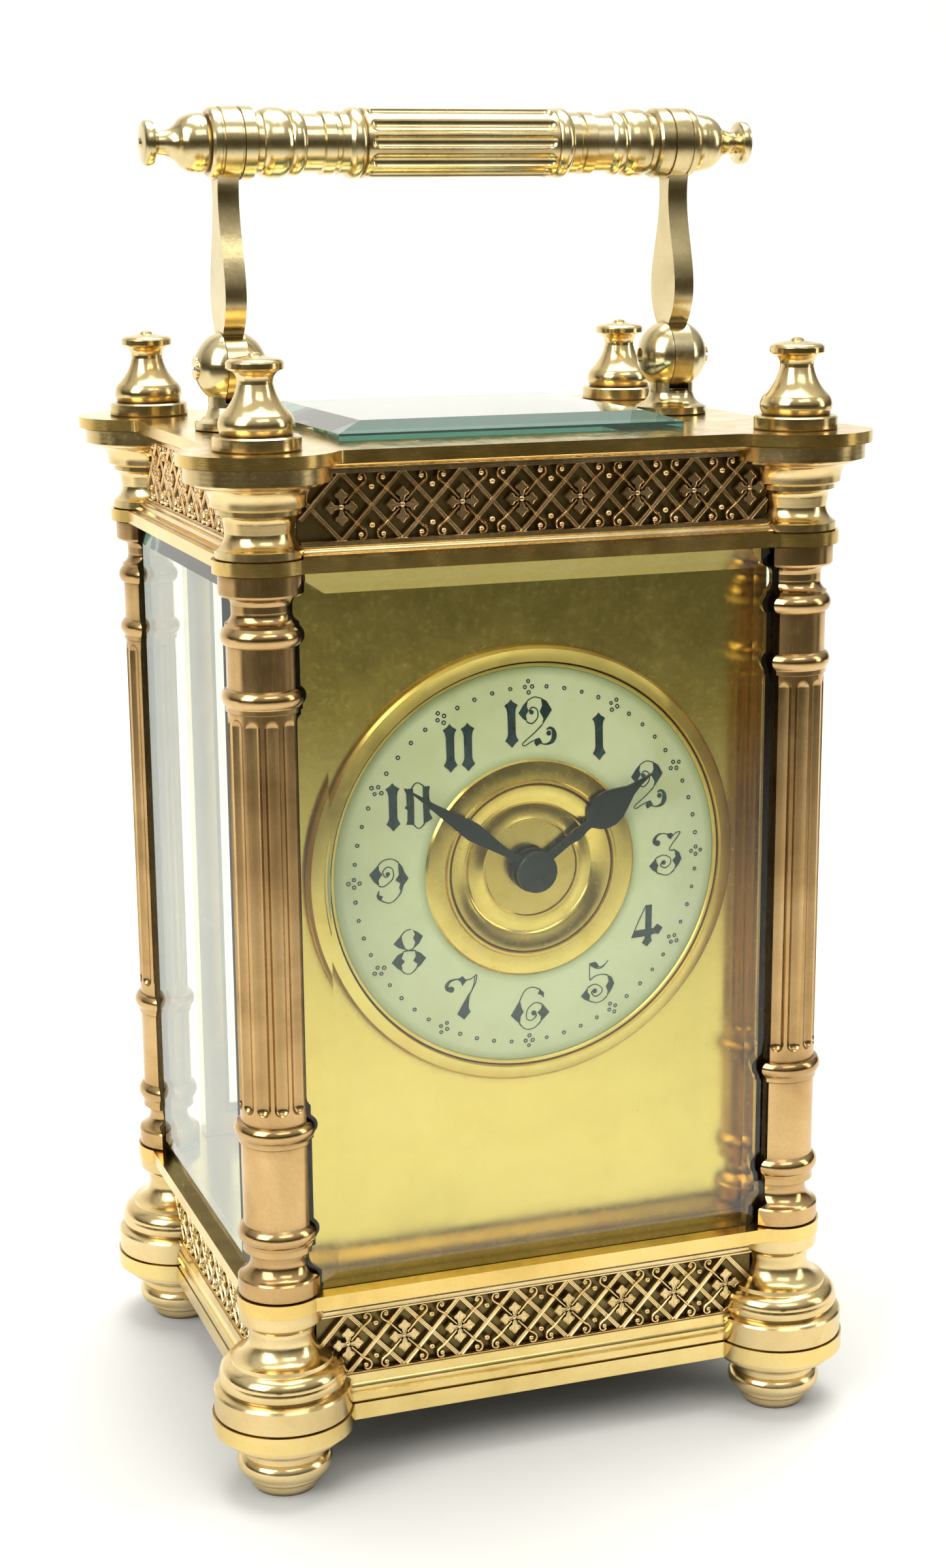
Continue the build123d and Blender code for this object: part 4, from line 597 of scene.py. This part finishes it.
# Each figure: filled shapes, hairlines as (u, v, half width) through chosen points, and dots.
FIGURES = {
    "0": (
        [((-1.90, 2.26), (-0.73, 2.26), (-0.60, 0.53), (-0.64, -1.9), (-0.62, -2.5), (-1.70, -2.40),
          (-1.55, -1.9), (-1.5, -0.5), (-1.9, -0.2), (-1.6, 0.1), (-1.62, 1.6)),
         ((1.55, 2.43), (0.60, 2.43), (0.58, 0.2), (0.63, -2.43), (1.12, -2.25), (1.82, -1.85),
          (1.40, -0.95), (1.78, 0.0), (1.44, 0.74), (1.40, 1.7))],
        [((-0.95, 2.2, 0.08), (-0.5, 2.8, 0.07), (0.0, 2.96, 0.06), (0.75, 2.45, 0.09)),
         ((-0.75, -2.4, 0.09), (-0.3, -2.9, 0.07), (0.15, -3.0, 0.06), (0.75, -2.4, 0.09))], []),
    "1": ([ONE], [], []),
    "2": (
        [((-2.52, 1.27), (-1.84, 2.26), (-1.16, 2.94), (-1.34, 2.05), (-1.10, 1.55), (-1.50, 0.95),
          (-1.39, 0.15), (-1.95, 0.57)),
         ((0.66, 3.07), (1.45, 2.58), (2.12, 1.42), (1.45, 0.50), (0.70, -0.49), (0.92, 0.36),
          (0.42, 1.30), (0.78, 2.05)),
         ((-0.25, -2.22), (0.30, -2.10), (0.68, -2.72), (-0.14, -3.20), (-0.42, -2.75))],
        [((-1.20, 2.85, 0.07), (-0.3, 3.24, 0.06), (0.72, 3.0, 0.07)),
         ((-1.45, 0.15, 0.09), (-0.7, -0.17, 0.07), (0.1, 0.57, 0.07), (0.05, 1.6, 0.07),
          (-0.6, 1.93, 0.08), (-1.0, 1.45, 0.07), (-0.75, 1.1, 0.06)),
         ((0.72, -0.42, 0.08), (-0.5, -1.5, 0.06), (-2.0, -2.66, 0.06), (-1.78, -3.02, 0.06),
          (-1.0, -2.62, 0.06), (-0.2, -2.3, 0.06)),
         ((0.45, -2.85, 0.06), (1.2, -3.02, 0.10), (2.0, -2.75, 0.24), (2.34, -2.1, 0.34),
          (2.28, -1.3, 0.24), (1.8, -0.9, 0.16), (1.35, -1.1, 0.10))],
        [(-0.72, 1.30, 0.30), (1.62, -1.58, 0.34)]),
    "3": (
        [((0.16, 2.75), (0.84, 2.85), (1.18, 2.50), (0.73, 1.95), (0.27, 2.33)),
         ((1.35, 0.50), (2.05, 0.05), (2.43, -0.85), (2.0, -1.6), (1.25, -2.36), (1.52, -1.7),
          (1.05, -0.95), (1.52, -0.50)),
         ((-2.42, -1.44), (-1.43, -0.40), (-1.34, -1.0), (-1.05, -1.45), (-1.25, -1.85), (-1.2, -2.5),
          (-1.9, -2.05))],
        [((-1.1, 1.5, 0.24), (-1.62, 1.75, 0.30), (-1.60, 2.3, 0.22), (-1.1, 2.78, 0.12),
          (-0.4, 2.88, 0.06), (0.3, 2.7, 0.06)),
         ((1.1, 2.5, 0.06), (1.6, 2.80, 0.06), (2.08, 2.86, 0.06), (2.02, 2.55, 0.06), (0.52, 0.66, 0.06),
          (1.40, 0.44, 0.09)),
         ((1.35, -2.28, 0.09), (0.7, -2.78, 0.06), (-0.07, -2.88, 0.06), (-1.3, -2.44, 0.09)),
         ((-1.48, -0.42, 0.08), (-0.3, -0.10, 0.06), (0.73, -0.63, 0.06), (0.66, -1.45, 0.06),
          (-0.07, -1.86, 0.07), (-0.72, -1.5, 0.08), (-0.55, -1.1, 0.07))],
        [(-0.28, -1.12, 0.32), (-1.22, 1.62, 0.40)]),
    "4": (
        [((-0.27, 2.92), (0.66, 2.92), (0.66, -0.45), (0.95, -0.45), (1.55, 0.12), (2.34, -0.49),
          (1.77, -1.36), (1.2, -1.22), (0.66, -1.32), (0.62, -1.62), (0.78, -2.2), (0.05, -2.92),
          (-0.70, -2.33), (-0.32, -1.75), (-0.27, -1.42), (-2.32, -1.48), (-1.90, -0.49),
          (-0.27, -0.45))],
        [((-0.22, 2.88, 0.06), (-1.05, 1.25, 0.07), (-1.86, -0.5, 0.06))], []),
    "5": (
        [((-1.27, 2.80), (-0.40, 2.92), (-0.1, 2.6), (0.05, 2.28), (-0.2, 1.88), (-0.6, 2.05),
          (-1.12, 2.42)),
         ((1.35, 0.92), (2.05, 0.45), (2.43, -0.47), (2.05, -1.35), (1.35, -2.28), (1.52, -1.5),
          (1.2, -0.75), (1.58, -0.15), (1.5, 0.4)),
         ((-2.42, -1.78), (-1.43, -0.60), (-1.48, -1.25), (-1.1, -1.75), (-1.2, -2.60), (-1.9, -2.28))],
        [((-0.05, 2.2, 0.08), (0.45, 2.12, 0.06), (0.95, 2.4, 0.06), (1.45, 2.95, 0.05)),
         ((-0.2, 1.95, 0.06), (0.4, 1.95, 0.05), (0.95, 2.3, 0.05)),
         ((-1.25, 2.75, 0.06), (-1.24, 1.6, 0.05), (-1.18, 0.36, 0.07)),
         ((-1.18, 0.36, 0.06), (-0.5, 0.85, 0.06), (0.4, 1.05, 0.06), (1.40, 0.86, 0.09)),
         ((1.4, -2.22, 0.09), (0.7, -2.78, 0.06), (-0.2, -2.93, 0.06), (-1.3, -2.5, 0.09)),
         ((-1.48, -0.63, 0.08), (-0.4, -0.25, 0.06), (0.6, -0.9, 0.06), (0.5, -1.63, 0.06),
          (-0.3, -2.02, 0.07), (-0.86, -1.5, 0.08), (-0.7, -1.1, 0.07))],
        [(-0.42, -1.22, 0.34)]),
    "6": (
        [((1.30, 2.62), (1.9, 2.05), (1.86, 1.33), (1.5, 1.75), (1.0, 1.95), (1.2, 2.25)),
         ((-2.75, -0.74), (-1.5, 1.35), (-1.25, 0.25), (-0.93, -0.34), (-1.35, -1.0), (-1.42, -2.05),
          (-2.0, -1.5)),
         ((2.75, -0.80), (1.68, 0.52), (1.57, -0.17), (1.05, -0.70), (1.57, -1.33), (1.50, -2.12),
          (2.1, -1.5))],
        [((-1.55, 1.2, 0.08), (-0.8, 2.6, 0.06), (0.3, 2.98, 0.06), (1.36, 2.5, 0.10)),
         ((-1.5, -1.97, 0.09), (-0.8, -2.75, 0.06), (0.0, -2.98, 0.06), (0.8, -2.75, 0.06),
          (1.55, -2.05, 0.09)),
         ((1.70, 0.42, 0.08), (0.66, 0.74, 0.06), (-0.36, -0.06, 0.06), (-0.5, -1.33, 0.06),
          (0.2, -1.72, 0.06), (0.85, -1.2, 0.08), (0.8, -0.75, 0.07))],
        [(0.52, -0.70, 0.36)]),
    "7": (
        [((-0.60, 2.60), (0.18, 2.98), (0.45, 2.6), (0.74, 2.38), (0.10, 1.62), (-0.1, 2.2)),
         ((1.0, 0.45), (1.2, 0.45), (1.05, -0.6), (1.02, -1.55), (1.3, -2.1), (0.45, -3.13),
          (-0.55, -2.28), (0.2, -0.95))],
        [((-1.3, 1.15, 0.22), (-1.9, 1.35, 0.26), (-2.02, 1.9, 0.24), (-1.5, 2.5, 0.14),
          (-0.5, 2.66, 0.07)),
         ((0.6, 2.4, 0.07), (1.36, 2.52, 0.06), (2.05, 3.05, 0.05)),
         ((2.12, 3.0, 0.06), (2.0, 2.1, 0.06), (1.6, 1.2, 0.07), (1.1, 0.3, 0.10)),
         ((1.85, 2.75, 0.05), (1.72, 1.8, 0.05), (1.45, 1.0, 0.06))],
        [(-1.42, 1.28, 0.42)]),
    "8": (
        [((-2.12, 1.16), (-1.07, 2.35), (-1.0, 1.62), (-0.80, 1.0), (-0.42, 0.25), (-1.4, 0.58)),
         ((0.45, 2.92), (1.15, 2.55), (1.82, 1.97), (1.25, 0.98), (0.42, 0.25), (0.80, 1.15),
          (0.5, 1.8), (0.75, 2.3)),
         ((-2.38, -1.40), (-1.6, -0.4), (-0.72, 0.05), (-1.07, -0.85), (-0.62, -1.3), (-1.05, -1.8),
          (-0.92, -2.68), (-1.6, -2.2)),
         ((2.25, -1.06), (1.5, -0.3), (0.72, 0.10), (0.86, -0.74), (0.5, -1.3), (1.08, -1.8),
          (0.84, -2.5), (1.5, -2.0))],
        [((-1.12, 2.25, 0.08), (-0.5, 2.85, 0.06), (0.25, 3.02, 0.06)),
         ((-0.5, 0.32, 0.08), (0.0, 0.12, 0.07), (0.8, 0.08, 0.08)),
         ((0.5, 0.32, 0.08), (0.0, 0.18, 0.07), (-0.8, 0.05, 0.08)),
         ((-1.0, -2.6, 0.09), (-0.5, -3.0, 0.06), (0.2, -3.05, 0.06), (0.92, -2.42, 0.09))], []),
    "9": (
        [((-2.62, 1.06), (-1.36, 2.32), (-1.34, 1.59), (-0.92, 0.95), (-1.42, 0.25), (-1.34, -0.56),
          (-2.05, 0.08)),
         ((1.22, 2.46), (1.75, 1.85), (1.98, 1.16), (2.57, 0.2), (1.93, -0.6), (1.58, -1.68),
          (1.3, -0.95), (1.48, -0.42), (0.82, 0.1), (1.3, 0.74), (1.22, 1.6)),
         ((-1.72, -1.85), (-1.52, -1.3), (-1.32, -1.12), (-1.36, -1.75), (-0.86, -1.97), (-1.15, -2.55),
          (-1.55, -2.3))],
        [((-1.42, 2.24, 0.08), (-0.8, 2.78, 0.06), (0.0, 2.96, 0.06), (0.7, 2.82, 0.06),
          (1.3, 2.36, 0.09)),
         ((-1.4, -0.52, 0.08), (-0.7, -0.63, 0.06), (0.45, 0.3, 0.06), (0.5, 1.5, 0.06),
          (-0.2, 1.92, 0.06), (-0.85, 1.3, 0.07), (-0.55, 0.62, 0.07), (-0.15, 0.65, 0.06)),
         ((1.6, -1.5, 0.09), (0.8, -2.5, 0.06), (-0.1, -2.9, 0.06), (-1.2, -2.45, 0.09))],
        [(-0.18, 0.98, 0.28)]),
}
HOURS = {hour: ((str(hour), 0.0),) for hour in range(1, 10)}
HOURS[10] = (("1", -1.9), ("0", 1.5))
HOURS[11] = (("1", -1.2), ("1", 1.2))
HOURS[12] = (("1", -2.5), ("2", 1.0))
PEN = ((-1.0, PAINT_ROOT), (-1.0, PAINT), (1.0, PAINT), (1.0, PAINT_ROOT))
NUMERAL_R = 19.4
TRACK_R = 24.0
TRACK_RING_R = 0.27
TRACK_RING_SIDES = 10
TRACK_RING_HALF = 0.075
ONE_SPOT = ((0.0, 0.0),)
FOUR_SPOTS = ((0.72, 0.0), (-0.72, 0.0), (0.0, 0.50), (0.0, -0.50))      # outwards, across


def draw_figure(shape, figure, u0, v0):
    fills, hairlines, dots = FIGURES[figure]
    for corners in fills:
        slab(shape, on_enamel, [(u0 + u, v0 + v) for u, v in corners], PAINT_ROOT, PAINT + FILL_PROUD)
    for line in hairlines:
        path = [(u0 + u, v0 + v, half) for u, v, half in smoothed(line, 5)]
        swept(shape, on_enamel, path, PEN)
    for u, v, radius in dots:
        slab(shape, on_enamel, circle(u0 + u, v0 + v, radius, DOT_SIDES), PAINT_ROOT, PAINT + DOT_PROUD)


def small_ring(shape, u, v):
    """One of the minute track's hand-painted rings, not quite round."""
    outer = TRACK_RING_R + rng.uniform(-0.02, 0.03)
    lean = rng.uniform(0.0, math.tau)
    loop = []
    for j in range(TRACK_RING_SIDES + 1):
        angle = lean + j * math.tau / TRACK_RING_SIDES
        reach = outer * (0.78 + rng.uniform(-0.05, 0.05))
        loop.append((u + reach * math.cos(angle), v + reach * math.sin(angle), TRACK_RING_HALF))
    loop[-1] = loop[0]
    swept(shape, on_enamel, loop, PEN)


numerals = Shape()
for hour, figures in HOURS.items():
    angle = math.radians(90.0 - 30.0 * hour)
    for figure, shift in figures:
        draw_figure(numerals, figure, NUMERAL_R * math.cos(angle) + shift, NUMERAL_R * math.sin(angle))
numerals.build("dial_numerals", numeral_enamel, "case", smooth=False)

track = Shape()
for minute in range(60):
    angle = math.radians(90.0 - 6.0 * minute)
    c = math.cos(angle)
    s = math.sin(angle)
    for out, across in ONE_SPOT if minute % 5 else FOUR_SPOTS:
        small_ring(track, (TRACK_R + out) * c - across * s, (TRACK_R + out) * s + across * c)
track.build("dial_minute_track", numeral_enamel, "case", smooth=False)


# ---- stage, light and camera ----------------------------------------------------------------
FLOOR_SHADE_FADE = (0.17, 0.55)      # metres from the clock over which painted shade darkens the paper for light falling off, so that the polished faces mirror no edge of it; it stays pale behind the clock
FLOOR_REAR = (0.02, -0.12)     # polished faces mirror no edge of it; it stays pale behind the clock


def floor_material():
    """Pale paper, with painted shade darker far in front of the clock, for the light falling off."""
    s = Shader("pale_paper")
    cloud = s.noise(9.0, 4.0)
    fibre = s.noise(900.0, 2.0)
    colour = s.ramp(cloud, (0.3, (0.74, 0.73, 0.70)), (0.7, (0.80, 0.79, 0.765)))
    away = s.add("ShaderNodeVectorMath", Vector=s.place)
    away.operation = "LENGTH"
    front = s.span(s.add("ShaderNodeSeparateXYZ", Vector=s.place).outputs["Y"], *FLOOR_REAR)
    # painted shade: the paper darkens towards a near-black brown away from the front of the clock
    dark = s.math("MULTIPLY", s.span(away.outputs["Value"], *FLOOR_SHADE_FADE), front)
    colour = s.blend(dark, colour, solid(0.045, 0.04, 0.022))
    return s.set(Base_Color=colour, Roughness=s.span(fibre, 0.3, 0.7, 0.55, 0.75),
                 Normal=s.bump(fibre, 0.1, 0.0001))


FLOOR_FRONT = -1.2
FLOOR_HALF = 1.3
COVE_START = 0.42
COVE_R = 0.45
COVE_STEPS = 12
WALL_TOP = 1.4
section = [(FLOOR_FRONT, 0.0), (0.0, 0.0), (COVE_START, 0.0)]
for step in range(1, COVE_STEPS + 1):
    angle = math.radians(90.0 / COVE_STEPS * step)
    section.append((COVE_START + COVE_R * math.sin(angle), COVE_R * (1 - math.cos(angle))))
section.append((COVE_START + COVE_R, WALL_TOP))
cove = bpy.data.meshes.new("studio_sweep")
cove.from_pydata([(x, y, z) for y, z in section for x in (-FLOOR_HALF, FLOOR_HALF)], [],
                 [(2 * i, 2 * i + 1, 2 * i + 3, 2 * i + 2) for i in range(len(section) - 1)])
cove.shade_smooth()
cove.materials.append(floor_material())
backdrop = bpy.data.objects.new("studio_sweep", cove)
bpy.context.scene.collection.objects.link(backdrop)

# Colours of the room, from straight down (0) to straight up (1).
SKY_STOPS = ((0.0, (0.10, 0.085, 0.05)), (0.46, (0.075, 0.065, 0.035)), (0.56, (0.09, 0.08, 0.055)),
             (0.72, (0.46, 0.45, 0.41)), (1.0, (0.92, 0.93, 0.90)))
world = bpy.data.worlds.new("studio")
bpy.context.scene.world = world
world.use_nodes = True
sky = world.node_tree
direction = sky.nodes.new("ShaderNodeTexCoord").outputs["Generated"]
parts = sky.nodes.new("ShaderNodeSeparateXYZ")
sky.links.new(direction, parts.inputs[0])
height = sky.nodes.new("ShaderNodeMapRange")
height.inputs["From Min"].default_value = -1.0
sky.links.new(parts.outputs["Z"], height.inputs["Value"])
heights = sky.nodes.new("ShaderNodeValToRGB")
set_stops(heights, SKY_STOPS)
sky.links.new(height.outputs["Result"], heights.inputs["Fac"])
sky.links.new(heights.outputs["Color"], sky.nodes["Background"].inputs["Color"])
sky.nodes["Background"].inputs["Strength"].default_value = 1.0


def softbox(name, place, aim, width, tall, power, colour):
    """A rectangular studio light at place, turned towards aim."""
    light = bpy.data.lights.new(name, "AREA")
    light.shape = "RECTANGLE"
    light.size = width
    light.size_y = tall
    light.energy = power
    light.color = colour
    lamp = bpy.data.objects.new(name, light)
    lamp.location = place
    lamp.rotation_euler = (Vector(aim) - Vector(place)).to_track_quat("-Z", "Y").to_euler()
    bpy.context.scene.collection.objects.link(lamp)


CLOCK_MIDDLE = (0.0, 0.0, 0.08)
softbox("key", (-0.85, -0.45, 0.75), CLOCK_MIDDLE, 0.6, 0.9, 9.0, (1.0, 0.985, 0.94))
softbox("fill", (0.98, -0.45, 0.45), CLOCK_MIDDLE, 0.25, 0.8, 2.5, (1.0, 0.96, 0.88))
softbox("front", (0.1, -0.80, 0.85), CLOCK_MIDDLE, 0.6, 0.30, 1.5, (1.0, 0.98, 0.94))
softbox("top", (0.1, 0.1, 1.1), (0.0, 0.0, 0.1), 0.8, 0.8, 8.0, (1.0, 1.0, 0.97))
softbox("backdrop", (0.3, 0.35, 1.25), (0.35, 0.85, 0.45), 1.2, 0.4, 6.0, (1.0, 1.0, 0.99))

CAMERA_AT = (-0.11517, -0.32697, 0.16534)
YAW = 19.486               # degrees to the right of straight ahead
PITCH_DOWN = 14.251
ROLL = 0.4705
FOCAL_LENGTH = 58.12
SENSOR_WIDTH = 36.0
SHIFT = (0.005, 0.0397)
yaw = math.radians(YAW)
down = math.radians(PITCH_DOWN)
ahead = Vector((math.sin(yaw) * math.cos(down), math.cos(yaw) * math.cos(down), -math.sin(down)))
right = Vector((math.cos(yaw), -math.sin(yaw), 0.0))
below = ahead.cross(right)
roll = math.radians(ROLL)
image_right = right * math.cos(roll) + below * math.sin(roll)
image_up = right * math.sin(roll) - below * math.cos(roll)
lens = bpy.data.cameras.new("camera")
lens.lens = FOCAL_LENGTH
lens.sensor_width = SENSOR_WIDTH
lens.shift_x, lens.shift_y = SHIFT
camera = bpy.data.objects.new("camera", lens)
turn = Matrix((image_right, image_up, -ahead)).transposed().to_4x4()
camera.matrix_world = Matrix.Translation(CAMERA_AT) @ turn
bpy.context.scene.collection.objects.link(camera)
bpy.context.scene.camera = camera

view = bpy.context.scene.view_settings
view.view_transform = "Standard"
view.look = "None"
view.exposure = 0.0
bpy.context.scene.cycles.caustics_refractive = True
bpy.context.scene.cycles.caustics_reflective = False
